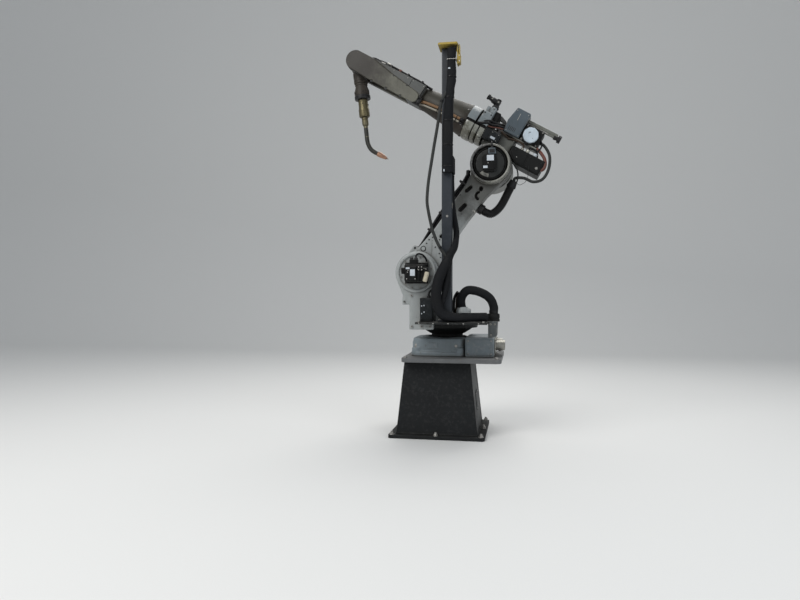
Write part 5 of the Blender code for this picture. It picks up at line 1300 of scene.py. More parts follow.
lathe(bm, [(0, 0), (0.0060, 0), (0.0060, 0.0018), (0, 0.0018)], (0.1720, 0.0275, 0.3830), (0, 1, 0.3), 16, UP, 1)
lathe(bm, [(0, 0), (0.0052, 0), (0.0052, 0.0030), (0, 0.0030)], (0.2150, 0.0270, 0.3860), (0, 1, 0.2), 14, UP, 1)
piece("top_fitting", bm, "upper_arm", ["oxide", "zinc"], ["top_hose_fitting"])

# feeder plate, box, drive, disc, inlet and rail
bm = bmesh.new()
plate(bm, rounded(-0.1745, -0.0695, 0.0995, 0.0655, 0.006), 0.2285, 0.2361, UP, 0, bevel=0.0010, plane="XY")
for x, y in ((0.0860, 0.0520), (0.0860, -0.0560), (0.0650, 0.0520)):
    bolt(bm, (x, y, 0.2360), (0, 0, 1), 0.0110, F=UP, mat=1, kind="hex")
tube(bm, [(0.0960, 0.0480, 0.2450), (0.0830, 0.0500, 0.2520), (0.0700, 0.0450, 0.2550), (0.0545, 0.0400, 0.2560)], 0.0070, n=14, F=UP, mat=2, step=0.006)
tube(bm, [(0.1480, 0.0250, 0.2620), (0.1200, 0.0330, 0.2560), (0.0900, 0.0300, 0.2480), (0.0570, 0.0250, 0.2480)], 0.0085, n=14, F=UP, mat=2, step=0.006)
tube(bm, [(0.1480, 0.0000, 0.2750), (0.1150, 0.0060, 0.2700), (0.0900, 0.0080, 0.2620), (0.0600, 0.0060, 0.2600)], 0.0085, n=14, F=UP, mat=3, step=0.006)
piece("feeder_mounting_plate", bm, "upper_arm", ["collar", "steel", "hose_brown", "rubber"], ["feeder_bracket"])

bm = bmesh.new()
shell = [(-0.0476, 0.2370), (0.0516, 0.2370), (0.0606, 0.3060), (0.0437, 0.3917), (0.0358, 0.3966), (-0.0418, 0.3966), (-0.0476, 0.3908)]
plate(bm, shell, -0.0615, 0.0855, UP, 0, bevel=0.004, res=3)
lip = [(-0.0430, 0.2415), (0.0475, 0.2415), (0.0560, 0.3060), (0.0400, 0.3880), (-0.0430, 0.3880)]
plate(bm, lip, 0.0845, 0.0876, UP, 0, bevel=0.0012)
box(bm, (0.0070, 0.0868, 0.3250), (0.0105, 0.0880, 0.3700), UP, 1, bevel=0.0005)             # bright strip for a highlight streak: painted highlight
for k in range(5):                                        # vent slots drawn as dark strips: painted shade in the openings
    x = 0.0330 - k * 0.0100
    box(bm, (x - 0.0022, 0.0862, 0.2530), (x + 0.0022, 0.0878, 0.2800), UP, 2, bevel=0.0006)
for x, z in ((0.0420, 0.2480), (-0.0380, 0.2480), (-0.0380, 0.3820), (0.0360, 0.3800)):
    bolt(bm, (x, 0.0872, z), (0, 1, 0), 0.0060, F=UP, mat=1, kind="button")
for y in (-0.045, 0.0, 0.045):
    box(bm, (-0.020, y - 0.010, 0.3958), (0.020, y + 0.010, 0.3969), UP, 2, bevel=0.0004) if y else None
box(bm, (-0.0480, 0.0560, 0.3200), (-0.0470, 0.0780, 0.3700), UP, 1, bevel=0.0005)
piece("feeder_case", bm, "upper_arm", ["feeder", "steel", "oxide"], ["wire_feeder_box"])

bm = bmesh.new()
box(bm, (-0.1715, -0.0590, 0.2370), (-0.0486, 0.0600, 0.3435), UP, 0, bevel=0.005, seg=3)
lathe(bm, [(0.030, 0.0560), (0.0585, 0.0560), (0.0585, 0.0640), (0.0555, 0.0695), (0.030, 0.0695)], (-0.106, 0, 0.285), (0, 1, 0), 48, UP, 0)
for x, z in ((-0.0600, 0.3330), (-0.1610, 0.3330), (-0.0600, 0.2460), (-0.1610, 0.2460)):
    bolt(bm, (x, 0.0598, z), (0, 1, 0), 0.0085, F=UP, mat=1, kind="socket", dark=2)
rod(bm, (-0.1500, 0.0100, 0.3400), (-0.1500, 0.0560, 0.3400), 0.0030, n=8, F=UP, mat=1)
rod(bm, (-0.0700, 0.058, 0.2600), (-0.0640, 0.0695, 0.2380), 0.0075, n=16, F=UP, mat=1, edge=0.001)
piece("feeder_drive_unit", bm, "upper_arm", ["dark_cast", "steel", "oxide"], ["wire_feeder_drive"])

bm = bmesh.new()
lid = []
for k in range(9):
    for da in (-8, 0, 8):
        a = math.radians(40 * k + 12 + da)
        rr = 0.0470 if da == 0 else 0.0465
        lid.append((-0.106 + rr * math.cos(a), 0.285 + rr * math.sin(a)))
plate(bm, lid, 0.0706, 0.0942, UP, 0, bevel=0.0045, res=4)
plate(bm, [(-0.106 + 0.80 * (x + 0.106), 0.285 + 0.80 * (z - 0.285)) for x, z in lid], 0.0930, 0.0950, UP, 0, bevel=0.0009)
lathe(bm, [(0, 0.0940), (0.0110, 0.0940), (0.0108, 0.0956), (0, 0.0957)], (-0.106, 0, 0.285), (0, 1, 0), 30, UP, 0)
box(bm, (-0.1005, 0.0942, 0.2945), (-0.0860, 0.0952, 0.2990), UP, 1, bevel=0.0003, turn=Matrix.Rotation(0.5, 4, "Y"))
box(bm, (-0.0960, 0.0942, 0.2870), (-0.0840, 0.0950, 0.2896), UP, 1, bevel=0.0003, turn=Matrix.Rotation(0.5, 4, "Y"))
lathe(bm, [(0, 0.0940), (0.0022, 0.0940), (0.0022, 0.0952), (0, 0.0952)], (-0.1250, 0, 0.2720), (0, 1, 0), 12, UP, 1)
piece("feeder_white_cover", bm, "upper_arm", ["white", "oxide"], ["wire_feeder_disc"])

bm = bmesh.new()
box(bm, (-0.2450, 0.0010, 0.3560), (-0.0486, 0.0290, 0.3736), UP, 0, bevel=0.002)
box(bm, (-0.2400, 0.0030, 0.3447), (-0.0600, 0.0270, 0.3570), UP, 0, bevel=0.002)
rod(bm, (-0.1320, 0.0245, 0.3500), (-0.1900, 0.0245, 0.3500), 0.0050, n=14, F=UP, mat=1, edge=0.0008)
lathe(bm, [(0, 0), (0.0140, 0), (0.0155, 0.0020), (0.0155, 0.0140), (0.0130, 0.0160), (0.0130, 0.0250), (0.0236, 0.0262), (0.0238, 0.0440), (0.0215, 0.0458), (0, 0.0458)],
      (-0.2262, 0.015, 0.352), (-1, 0, 0), 36, UP, 2, ripple=((6, 7, 8), 12, 0.0020))
for x in (-0.0700, -0.1100, -0.1500, -0.2050):
    rod(bm, (x, 0.0150, 0.3722), (x, 0.0150, 0.3738), 0.0040, n=16, F=UP, mat=2)
piece("feeder_inlet_rail", bm, "upper_arm", ["rail", "steel", "oxide"], ["wire_feeder_inlet"])

bm = bmesh.new()
tail = [(-0.0407, 0.1345), (-0.0407, 0.1876), (-0.2615, 0.1876), (-0.2615, 0.0925), (-0.1085, 0.0925)]
plate(bm, tail, -0.0845, 0.0850, UP, 0, bevel=0.008, res=3)
plate(bm, [(-0.0560, 0.1400), (-0.0560, 0.1800), (-0.1500, 0.1800), (-0.1500, 0.1010), (-0.1130, 0.1010)], 0.0840, 0.0885, UP, 0, bevel=0.0022)
plate(bm, rounded(-0.2540, 0.0990, -0.1640, 0.1800, 0.010), 0.0840, 0.0912, UP, 0, bevel=0.0030)
bolt(bm, (-0.2330, 0.0908, 0.1270), (0, 1, 0), 0.0130, F=UP, mat=1, kind="hex")
bolt(bm, (-0.0960, 0.0880, 0.1330), (0, 1, 0), 0.0075, F=UP, mat=1, kind="button")
for x, z in ((-0.0680, 0.1700), (-0.1400, 0.1700), (-0.1700, 0.1660), (-0.2440, 0.1660), (-0.1750, 0.1080)):
    bolt(bm, (x, 0.0878 if x > -0.16 else 0.0905, z), (0, 1, 0), 0.0075, F=UP, mat=2, kind="socket", dark=2)
for k in range(6):
    x = -0.180 - k * 0.012
    box(bm, (x - 0.002, -0.080, 0.0918), (x + 0.002, 0.080, 0.0935), UP, 0, bevel=0.0006)
rod(bm, (-0.1350, 0.0500, 0.1870), (-0.1350, 0.0500, 0.2080), 0.0125, n=24, F=UP, mat=3, edge=0.0012)
rod(bm, (-0.1000, 0.0560, 0.1870), (-0.1000, 0.0560, 0.2020), 0.0100, n=6, F=UP, mat=3, edge=0.0008)
lathe(bm, [(0, 0), (0.0125, 0), (0.0135, 0.004), (0.0135, 0.016), (0.0105, 0.019), (0, 0.019)], (-0.1850, 0.0600, 0.1872), (0, 0, 1), 24, UP, 4)
piece("rear_unit", bm, "upper_arm", ["dark_cast", "steel", "oxide", "zinc", "label"], ["rear_motor_box"])

bm = bmesh.new()                                          # small hoses at the rear
tube(bm, [(-0.1640, 0.0440, 0.2390), (-0.1900, 0.0500, 0.2330), (-0.2200, 0.0560, 0.2200), (-0.2480, 0.0640, 0.2010), (-0.2660, 0.0720, 0.1770), (-0.2720, 0.0760, 0.1520),
          (-0.2660, 0.0740, 0.1360), (-0.2560, 0.0700, 0.1300)], 0.0098, n=16, F=UP, mat=0, step=0.006)
tube(bm, [(-0.1350, 0.0500, 0.2060), (-0.1360, 0.0540, 0.2160), (-0.1500, 0.0600, 0.2220), (-0.1700, 0.0580, 0.2240), (-0.1900, 0.0500, 0.2150), (-0.2050, 0.0400, 0.1890)],
     0.0055, n=12, F=UP, mat=1, step=0.006)
tube(bm, [(-0.1000, 0.0560, 0.2000), (-0.0990, 0.0580, 0.2150), (-0.0850, 0.0620, 0.2220), (-0.0600, 0.0600, 0.2240), (-0.0200, 0.0560, 0.2200), (0.0100, 0.0520, 0.2120)],
     0.0060, n=12, F=UP, mat=2, step=0.006)
tube(bm, [(-0.1850, 0.0600, 0.2050), (-0.1900, 0.0620, 0.2250), (-0.1950, 0.0600, 0.2500), (-0.1880, 0.0500, 0.2750), (-0.1720, 0.0400, 0.2900)], 0.0050, n=12, F=UP, mat=1, step=0.006)
piece("rear_small_hoses", bm, "upper_arm", ["red", "rubber", "hose_brown"], ())

# wire conduit that crosses the elbow
cuff_end = cb + 0.0425 * cdir
FEED = [cuff_end, cuff_end + 0.018 * cdir, Vector((0.470, -0.172, 1.541)), Vector((0.525, -0.158, 1.520)),
        UP @ Vector((-0.300, 0.128, 0.085)), UP @ Vector((-0.298, 0.090, 0.160)), UP @ Vector((-0.262, 0.048, 0.236)),
        UP @ Vector((-0.205, 0.030, 0.276)), UP @ Vector((-0.1725, 0.030, 0.276))]
bm = bmesh.new()
tube(bm, FEED, 0.0089, n=18, mat=0, step=0.006)
hose_ob_mesh = bpy.data.meshes.new("feeder_hose_skin")
bm.to_mesh(hose_ob_mesh)
bm.free()
hose_ob_mesh.materials.append(M["hose_grey"])
hose_ob_mesh.shade_smooth()
feed_ob = bpy.data.objects.new("feeder_wire_hose", hose_ob_mesh)
scene.collection.objects.link(feed_ob)
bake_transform(feed_ob)
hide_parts("feeder_hose")

HAIR = [cp + Vector((0.012, -0.006, 0.006)), Vector((0.440, -0.178, 1.502)), Vector((0.460, -0.165, 1.508)), Vector((0.480, -0.145, 1.526)),
        Vector((0.493, -0.122, 1.560)), Vector((0.496, -0.104, 1.600)), UP @ Vector((-0.1850, 0.0900, 0.1180))]
bm = bmesh.new()                                          # hairline wire from the rear unit to the cuff
tube(bm, HAIR, 0.0014, n=8, mat=0, step=0.006)
hair_mesh = bpy.data.meshes.new("hairline_skin")
bm.to_mesh(hair_mesh)
bm.free()
hair_mesh.materials.append(M["hose_grey"])
hair_mesh.shade_smooth()
hair_ob = bpy.data.objects.new("rear_thin_wire", hair_mesh)
scene.collection.objects.link(hair_ob)
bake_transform(hair_ob)

# ================================================================= forearm
bm = bmesh.new()
# upper half of the flange in the blue-tinted silver, lower half in the beige-tinted one: painted reflections
sector(bm, [(0.0900, 0.2278), (0.1058, 0.2278), (0.1076, 0.2300), (0.1078, 0.2780), (0.1062, 0.2840), (0.0900, 0.2840)], 4.5, 175.5, AXIS_R, 64, UP, 3)
sector(bm, [(0.0900, 0.2278), (0.1030, 0.2278), (0.1066, 0.2318), (0.1078, 0.2400), (0.1078, 0.2640), (0.1062, 0.2740), (0.1020, 0.2820), (0.0900, 0.2850)],
       -175.5, -4.5, AXIS_R, 64, UP, 4)
lathe(bm, [(0, 0.2226), (0.0690, 0.2226), (0.0690, 0.2275), (0.0960, 0.2275), (0.0975, 0.2290), (0.0975, 0.2860), (0.0985, 0.2885), (0.0990, 0.2900)],
      (0, 0, RZ), (1, 0, 0), 96, UP, 5)
lathe(bm, [(0, 0.2850), (0.0985, 0.2850), (0.1010, 0.2862), (0.1018, 0.2925), (0.0990, 0.3250), (0.0985, 0.3262), (0.0975, 0.3290),
           (0.0695, 0.5670), (0.0705, 0.5700), (0.0705, 0.5860), (0.0670, 0.5900), (0.0658, 0.5995), (0, 0.5995)],
      (0, 0, RZ), (1, 0, 0), 96, UP, 0)
for k in range(6):                                         # pads where the cone meets its flange
    a = math.tau * (k + 0.5) / 6
    rod(bm, (0.2860, 0.0960 * math.cos(a), RZ + 0.0960 * math.sin(a)), (0.2990, 0.0960 * math.cos(a), RZ + 0.0960 * math.sin(a)), 0.0095, n=20, F=UP, edge=0.002)
    bolt(bm, (0.2988, 0.0975 * math.cos(a), RZ + 0.0975 * math.sin(a)), (1, 0, 0), 0.0095, F=UP, mat=1, kind="socket", dark=2)
piece("forearm_tapered_casting", bm, "forearm", ["cone", "steel", "oxide", "upper_light", "lobe", "dark_cast"], ["forearm_cone"])


def on_cone(x, phi, lift):
    t = (x - 0.292) / (0.600 - 0.292)
    r = 0.1018 + (0.066 - 0.1018) * t + lift
    a = math.radians(phi)
    return (x, r * math.cos(a), RZ - r * math.sin(a))


bm = bmesh.new()
tube(bm, [on_cone(x, f, 0.0085) for x, f in ((0.604, 33), (0.575, 24), (0.540, 20), (0.480, 16), (0.420, 14), (0.360, 13), (0.320, 13), (0.300, 13))],
     0.0085, n=18, F=UP, mat=0, step=0.010)
tube(bm, [on_cone(x, f, 0.0062) for x, f in ((0.604, 46), (0.575, 38), (0.540, 34), (0.480, 29), (0.420, 26), (0.360, 24), (0.320, 23.5), (0.300, 23.5))],
     0.0062, n=14, F=UP, mat=1, step=0.010)
for f, rr, lift in ((13, 0.0115, 0.0085), (23.5, 0.0090, 0.0062)):      # glands where they enter the flange
    lathe(bm, [(0, 0), (rr, 0), (rr, 0.010), (rr * 0.86, 0.014), (rr * 0.80, 0.024), (0, 0.024)], on_cone(0.2925, f, lift - 0.002), (1, 0, 0), 12, UP, 2)
for x, f0, f1 in ((0.340, 6, 32), (0.470, 8, 38)):          # clips that hold them
    for i in range(8):
        a, c = f0 + (f1 - f0) * i / 8, f0 + (f1 - f0) * (i + 1) / 8
        p, q = Vector(on_cone(x, a, 0.0172)), Vector(on_cone(x, c, 0.0172))
        tube(bm, [p, q], 0.0022, n=8, F=UP, mat=2, smooth=False)
piece("forearm_side_hoses", bm, "forearm", ["orange", "pale", "tie"], ())

bm = bmesh.new()                                            # tie clump and strap at the cover's end
rnd = random.Random(11)
for k in range(5):
    x = 0.592 + 0.010 * k
    tube(bm, [on_cone(x if x < 0.6 else 0.599, 14 + 3 * k, 0.021), (x, 0.0890, RZ - 0.040), (x + 0.002, 0.0870, RZ - 0.056), (x + 0.003, 0.0720, RZ - 0.064)],
         0.0062 + 0.0016 * rnd.random(), n=12, F=UP, mat=0, step=0.006)
box(bm, (0.588, 0.0780, RZ - 0.058), (0.612, 0.0960, RZ - 0.034), UP, 0, bevel=0.004, turn=Matrix.Rotation(0.4, 4, "Y"))
box(bm, (0.604, 0.0700, RZ - 0.066), (0.632, 0.0898, RZ - 0.0625), UP, 0, bevel=0.001)
tube(bm, [(0.6060, 0.0900, RZ - 0.050), (0.6020, 0.0950, RZ - 0.060), (0.5960, 0.0940, RZ - 0.0720)], 0.0018, n=8, F=UP, mat=0, step=0.005)
tube(bm, [(0.6120, 0.0900, RZ - 0.030), (0.6050, 0.0965, RZ - 0.018), (0.5990, 0.0950, RZ - 0.008)], 0.0018, n=8, F=UP, mat=0, step=0.005)
tube(bm, [(0.6000, 0.0300, 0.2655), (0.6005, 0.0600, 0.2655), (0.6010, 0.0860, 0.2635), (0.6030, 0.0935, 0.2520), (0.6060, 0.0940, 0.2250),
          (0.6085, 0.0945, 0.2000), (0.6070, 0.0945, 0.1800), (0.6000, 0.0930, 0.1640)], 0.0030, n=10, F=UP, mat=0, step=0.006)
piece("forearm_ties", bm, "forearm", ["tie"], ())

bm = bmesh.new()
box(bm, (0.6006, -0.0895, RZ - 0.0615), (0.6998, 0.0895, RZ + 0.0615), UP, 0, bevel=0.010, seg=4)
box(bm, (0.6150, -0.0600, RZ + 0.0560), (0.6900, 0.0600, RZ + 0.0618), UP, 0, bevel=0.0022)
piece("forearm_yoke_block", bm, "forearm", ["fore_blue", "steel"], ["forearm_yoke"])

beam = [(0.7004, RZ - 0.0618)] + arc(FOREARM, RZ, 0.0622, -90, 90, 28) + [(0.7004, RZ + 0.0618)]
for name, node, lo, hi in (("fork_beam_near", "forearm_near_beam", 0.0452, 0.0898), ("fork_beam_far", "forearm_far_beam", -0.0898, -0.0452)):
    bm = bmesh.new()
    plate(bm, beam, lo, hi, UP, 0, bevel=0.006, res=3)
    out = 1 if lo > 0 else -1
    if out < 0:
        plate(bm, [(0.730, RZ - 0.040), (1.010, RZ - 0.044), (1.010, RZ + 0.044), (0.730, RZ + 0.040)], -0.0899, -0.0880, UP, 0, bevel=0.0009)
        lathe(bm, [(0, 0.0898), (0.044, 0.0898), (0.046, 0.0885), (0.046, 0.085), (0, 0.085)], (FOREARM, 0, RZ), (0, -1, 0), 48, UP, 0)
    inner = 0.0452 if out > 0 else -0.0452
    lathe(bm, [(0, 0), (0.036, 0), (0.038, 0.001), (0.038, 0.006), (0, 0.006)], (FOREARM, inner + out * 0.0002, RZ), (0, out, 0), 40, UP, 0)
    piece(name, bm, "forearm", ["fore", "steel"], [node])

bm = bmesh.new()
cov = arc(FOREARM, RZ, 0.0612, -100, 80, 36)
cov += [(0.9990, 0.2600), (0.8190, 0.2246), (0.6405, 0.1996), (0.6185, 0.1896), (0.6125, 0.1700), (0.6165, 0.1442), (0.6322, 0.1324)]
for k in range(3):
    x = 0.7198 + k * 0.1035
    cov += [(x - 0.0190, 0.1313)] + arc(x, 0.1295, 0.0100, 172, 8, 8) + [(x + 0.0190, 0.1313)]
plate(bm, cov, 0.0906, 0.0988, UP, 0, bevel=0.0036, res=4)
for x, z in ((0.8160, 0.2170), (0.7120, 0.2020)):
    rod(bm, (x, 0.0900, z + 0.004), (x, 0.0989, z + 0.004), 0.0058, n=20, F=UP, mat=1, edge=0.001)
for x in (0.6480, 0.7198, 0.8233, 0.9268):
    rod(bm, (x, 0.0900, 0.1300 if x > 0.7 else 0.1420), (x, 0.0975, 0.1300 if x > 0.7 else 0.1420), 0.0062, n=20, F=UP, mat=1, edge=0.001)
for a in range(0, 360, 60):
    rod(bm, (FOREARM + 0.048 * math.cos(math.radians(a + 20)), 0.0960, RZ + 0.048 * math.sin(math.radians(a + 20))),
        (FOREARM + 0.048 * math.cos(math.radians(a + 20)), 0.0990, RZ + 0.048 * math.sin(math.radians(a + 20))), 0.0036, n=14, F=UP, mat=2)
piece("forearm_side_cover", bm, "forearm", ["fore", "oxide", "brown"], ["forearm_cover"])

bm = bmesh.new()                                            # blue-grey strip above the cover
plate(bm, [(0.7010, 0.2118), (0.8180, 0.2286), (0.9780, 0.2598), (0.9700, 0.2612), (0.7010, 0.2612)], 0.0895, 0.0930, UP, 0, bevel=0.0008)
plate(bm, [(0.6040, 0.1960), (0.6990, 0.2100), (0.6990, 0.2590), (0.6040, 0.2590)], 0.0890, 0.0925, UP, 0, bevel=0.0008)
for x, z in ((0.730, 0.250), (0.830, 0.2520), (0.6900, 0.2500), (0.6160, 0.2480)):
    bolt(bm, (x, 0.0925, z), (0, 1, 0), 0.0055, F=UP, mat=1, kind="button")
piece("forearm_upper_strip", bm, "forearm", ["fore_blue", "steel"], ())

bm = bmesh.new()
TCAB = [(0.7006, 0.000, 0.232), (0.722, 0.000, 0.232), (0.770, 0.000, 0.247), (0.830, 0.000, 0.270), (0.900, 0.000, 0.280),
        (0.970, 0.000, 0.276), (1.020, 0.000, 0.258), (1.0465, 0.000, 0.2375)]
tube(bm, TCAB, lambda s, L: 0.0129 - 0.0012 * (0.5 + 0.5 * math.cos(math.tau * s / 0.0060)), n=22, F=UP, mat=0, step=0.0016)
for s0, x, z in ((0, 0.905, 0.2803), (1, 0.780, 0.2515)):
    lathe(bm, [(0.0128, -0.011), (0.0152, -0.011), (0.0152, 0.011), (0.0128, 0.011)], (x, 0, z), (1, 0, 0.02 if s0 == 0 else 0.38), 28, UP, 1)
piece("torch_lead", bm, "forearm", ["rubber", "zinc"], ["torch_cable"])
bm = bmesh.new()                                            # thin black hose and silver fitting on the near beam's top
lathe(bm, [(0, 0), (0.0090, 0), (0.0090, 0.006), (0.0072, 0.008), (0.0072, 0.015), (0.0098, 0.017), (0.0098, 0.024), (0, 0.024)],
      (0.930, 0.0700, 0.2600), (-1, 0, 0.10), 12, UP, 1)
tube(bm, [(0.906, 0.0700, 0.2630), (0.880, 0.0700, 0.2690), (0.840, 0.0680, 0.2720), (0.780, 0.0640, 0.2700), (0.720, 0.0600, 0.2700), (0.660, 0.0560, 0.2700),
          (0.610, 0.0480, 0.2660), (0.570, 0.0430, 0.2640)], 0.0072, n=14, F=UP, mat=0, step=0.008)
tube(bm, [(0.930, 0.0700, 0.2610), (0.955, 0.0700, 0.2680), (0.985, 0.0640, 0.2680), (1.010, 0.0560, 0.2600)], 0.0060, n=12, F=UP, mat=0, step=0.008)
for x in (0.860, 0.740, 0.640):
    box(bm, (x - 0.006, 0.0520, 0.2590), (x + 0.006, 0.0800, 0.2790 if x > 0.7 else 0.2780), UP, 2, bevel=0.0022)
lathe(bm, [(0.0070, -0.008), (0.0092, -0.008), (0.0092, 0.008), (0.0070, 0.008)], (0.800, 0.0655, 0.2712), (1, 0, 0), 18, UP, 3)
piece("forearm_top_hose", bm, "forearm", ["rubber", "steel", "tie", "red"], ())

# =================================================================== wrist
bm = bmesh.new()
rod(bm, (0, -0.0398, 0), (0, 0.0398, 0), 0.0448, n=56, F=TOOL, edge=0.004)
rod(bm, (0, -0.0445, 0), (0, 0.0445, 0), 0.0278, n=40, F=TOOL, edge=0.001)
lathe(bm, [(0, 0.0100), (0.0382, 0.0100), (0.0390, 0.0680), (0.0405, 0.0800), (0.0432, 0.1020), (0.0432, 0.1080), (0.0415, 0.1090), (0.0415, 0.1105),
           (0.0438, 0.1115), (0.0438, 0.1215), (0.0420, 0.1248), (0, 0.1248)], (0, 0, 0), (0, 0, 1), 64, TOOL, 0)
box(bm, (-0.0420, -0.0200, 0.0560), (-0.0340, 0.0200, 0.0960), TOOL, 0, bevel=0.003)
box(bm, (0.0340, -0.0160, 0.0480), (0.0415, 0.0160, 0.0900), TOOL, 0, bevel=0.003)
for k in range(8):
    a = math.tau * (k + 0.5) / 8
    rod(bm, (0.0432 * math.cos(a), 0.0432 * math.sin(a), 0.1165), (0.0440 * math.cos(a), 0.0440 * math.sin(a), 0.1165), 0.0028, n=10, F=TOOL, mat=1)
piece("wrist_body", bm, "wrist", ["brown", "oxide"], ["wrist_housing"])

# ==================================================================== tool
bm = bmesh.new()
lathe(bm, [(0, 0.1257), (0.0385, 0.1257), (0.0399, 0.1270), (0.0399, 0.1365), (0.0385, 0.1378), (0, 0.1378)], (0, 0, 0), (0, 0, 1), 56, TOOL, 0)
for k in range(6):
    a = math.tau * (k + 0.2) / 6
    rod(bm, (0.0385 * math.cos(a), 0.0385 * math.sin(a), 0.1318), (0.0399 * math.cos(a), 0.0399 * math.sin(a), 0.1318), 0.0026, n=10, F=TOOL, mat=1)
piece("output_flange", bm, "tool", ["brown", "oxide"], ["tool_flange"])
bm = bmesh.new()
lathe(bm, [(0, 0.1385), (0.0378, 0.1385), (0.0378, 0.1450), (0.0455, 0.1690), (0.0460, 0.1740), (0.0460, 0.1980), (0.0445, 0.2010), (0, 0.2010)],
      (0, 0, 0), (0, 0, 1), 64, TOOL, 0)
for a, w in ((150, 0.016), (200, 0.012), (20, 0.014), (70, 0.012), (285, 0.013)):     # clamp lugs and flats
    ar = math.radians(a)
    F2 = TOOL @ Matrix.Rotation(ar, 4, "Z")
    box(bm, (0.0380, -w, 0.1700), (0.0468, w, 0.1965), F2, 0, bevel=0.0025)
    bolt(bm, (0.0464, 0.0, 0.1835), (1, 0, 0), 0.0070, F=F2, mat=2, kind="socket", dark=2)
lathe(bm, [(0, 0.2010), (0.0460, 0.2010), (0.0500, 0.2040), (0.0503, 0.2060), (0.0503, 0.2120), (0.0485, 0.2130), (0.0485, 0.2150), (0.0503, 0.2160),
           (0.0503, 0.2215), (0.0490, 0.2255), (0, 0.2255)], (0, 0, 0), (0, 0, 1), 64, TOOL, 1, ripple=((4, 8), 20, 0.0010))
piece("torch_clamp", bm, "tool", ["brown", "oxide", "oxide", "collar"], ["torch_mount"])
bm = bmesh.new()
lathe(bm, [(0, 0.2266), (0.0285, 0.2266), (0.0305, 0.2280), (0.0308, 0.2400), (0.0300, 0.2420), (0.0300, 0.2440), (0.0308, 0.2460), (0.0308, 0.2760), (0.0318, 0.2800),
           (0.0318, 0.2850), (0.0338, 0.2890), (0.0338, 0.3010), (0.0330, 0.3020), (0.0330, 0.3040), (0.0338, 0.3050), (0.0338, 0.3310), (0.0308, 0.3375), (0, 0.3375)],
      (0, 0, 0), (0, 0, 1), 72, TOOL, 0, ripple=((12, 15), 30, 0.0006))
rod(bm, (0.0300, 0.0, 0.2620), (0.0330, 0.0, 0.2620), 0.0050, n=12, F=TOOL, mat=1)
bolt(bm, (0.0, 0.0302, 0.2560), (0, 1, 0), 0.0060, F=TOOL, mat=1, kind="button")
piece("torch_brass_body", bm, "tool", ["brass", "oxide"], ["torch_body"])
bm = bmesh.new()
lathe(bm, [(0, 0.3386), (0.0190, 0.3386), (0.0204, 0.3400), (0.0204, 0.3540), (0.0192, 0.3550), (0.0192, 0.3580), (0.0204, 0.3590), (0.0203, 0.3860), (0.0180, 0.3900),
           (0.0164, 0.3910), (0.0160, 0.3936), (0, 0.3936)], (0, 0, 0), (0, 0, 1), 56, TOOL, 0)
lathe(bm, [(0, 0.3600), (0.0205, 0.3600), (0.0205, 0.3700), (0, 0.3700)], (0, 0, 0), (0, 0, 1), 6, TOOL, 0)
piece("torch_brass_neck", bm, "tool", ["brass"], ["torch_neck"])
BEND = [(0, 0, 0.3943), (0, 0, 0.440), (0.000, 0, 0.480), (0.004, 0, 0.512), (0.018, 0, 0.545), (0.040, 0, 0.567), (0.0588, 0, 0.5800)]
bm = bmesh.new()
tube(bm, BEND, lambda s, L: 0.0138 if 0.012 < s < L - 0.010 else 0.0127, n=30, F=TOOL, mat=0, step=0.005)
lathe(bm, [(0.0125, 0.3960), (0.0139, 0.3960), (0.0139, 0.4080), (0.0125, 0.4090)], (0, 0, 0), (0, 0, 1), 30, TOOL, 1)
lathe(bm, [(0.0125, 0.4620), (0.0139, 0.4620), (0.0139, 0.4665), (0.0125, 0.4665)], (0, 0, 0), (0, 0, 1), 30, TOOL, 1)
piece("torch_swan_neck", bm, "tool", ["tube", "brass"], ["torch_tube"])
pts = spline(BEND, 0.018)
nd = (Vector(pts[-1]) - Vector(pts[-2])).normalized()
bm = bmesh.new()
lathe(bm, [(0.0040, 0.0006), (0.0158, 0.0006), (0.0158, 0.0085), (0.0150, 0.0095), (0.0158, 0.0105), (0.0158, 0.0270), (0.0142, 0.0300), (0.0128, 0.0450),
           (0.0095, 0.0632), (0.0082, 0.0655), (0.0068, 0.0655), (0.0068, 0.0500), (0.0040, 0.0500)], Vector(BEND[-1]), nd, 48, TOOL, 0)
lathe(bm, [(0.0010, 0.0500), (0.0032, 0.0500), (0.0034, 0.0700), (0.0026, 0.0775), (0.0010, 0.0778)], Vector(BEND[-1]), nd, 20, TOOL, 0)
piece("torch_gas_nozzle", bm, "tool", ["copper"], ["torch_nozzle"])


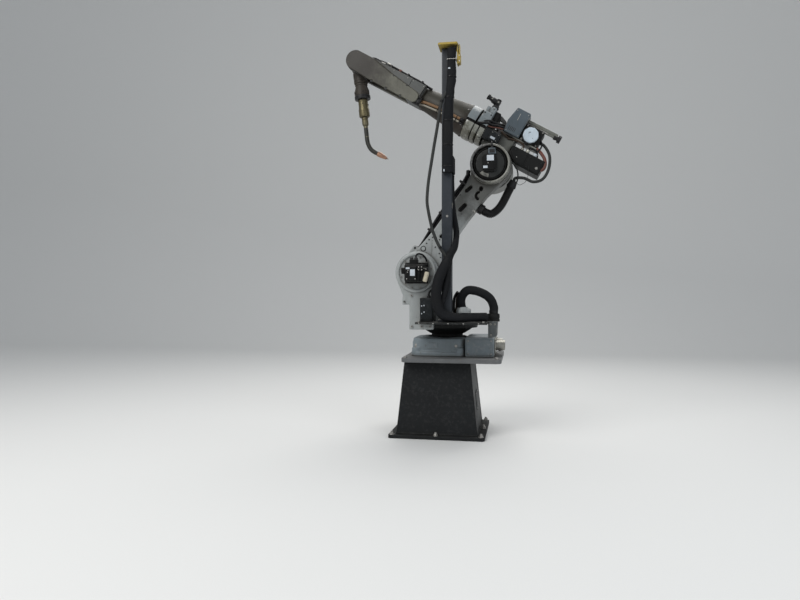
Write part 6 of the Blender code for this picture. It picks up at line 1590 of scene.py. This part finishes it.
# =================================================================== stage
def stage_material():
    g = Graph("studio_floor")
    grain = g.noise(220.0, 2.0, 0.5)
    col = g.mix(g.ramp(grain, 0.3, 0.7), (0.700, 0.705, 0.700), (0.715, 0.720, 0.715))
    n = g.bump(g.noise(60.0, 3.0, 0.5), 0.03, 0.001)
    return g.finish(col, 0.75, 0.0, n, Specular_IOR_Level=0.2)


def studio():
    """Pale floor that runs back and rises in one soft curve."""
    me = bpy.data.meshes.new("studio_floor")
    prof = [(-9.0, 0.0), (5.0, 0.0)] + [(5.0 + 3.0 * math.sin(math.radians(a)), 3.0 - 3.0 * math.cos(math.radians(a))) for a in range(6, 91, 6)] + [(8.0, 9.0)]
    vs, fs = [], []
    for y, z in prof:
        vs += [(-14.0, y, z - 0.0004), (14.0, y, z - 0.0004)]
    for i in range(len(prof) - 1):
        fs.append((2 * i, 2 * i + 1, 2 * i + 3, 2 * i + 2))
    me.from_pydata(vs, [], fs)
    me.shade_smooth()
    me.materials.append(stage_material())
    ob = bpy.data.objects.new("studio_floor", me)
    scene.collection.objects.link(ob)


def area(name, loc, target, size, power, colour=(1, 1, 1), size_y=None):
    li = bpy.data.lights.new(name, "AREA")
    li.energy = power
    li.color = colour
    li.size = size
    if size_y:
        li.shape = "RECTANGLE"
        li.size_y = size_y
    ob = bpy.data.objects.new(name, li)
    scene.collection.objects.link(ob)
    ob.location = loc
    ob.rotation_euler = (Vector(target) - Vector(loc)).to_track_quat("-Z", "Y").to_euler()
    return ob


studio()
area("key", (-2.6, -4.2, 4.4), (-0.1, 0.0, 1.2), 3.2, 200, (1.0, 0.985, 0.96))
area("fill", (3.6, -3.6, 2.2), (0.1, 0.0, 1.2), 3.0, 55, (0.93, 0.965, 1.0))
area("top", (0.6, 1.8, 4.6), (0.0, 0.0, 1.4), 3.4, 120, (1.0, 0.98, 0.95))
world = bpy.data.worlds.new("studio")
world.use_nodes = True
world.node_tree.nodes["Background"].inputs[0].default_value = (0.80, 0.83, 0.86, 1.0)
world.node_tree.nodes["Background"].inputs[1].default_value = 0.52
scene.world = world
scene.view_settings.view_transform = "Standard"
scene.view_settings.look = "None"
scene.view_settings.exposure = 0.0
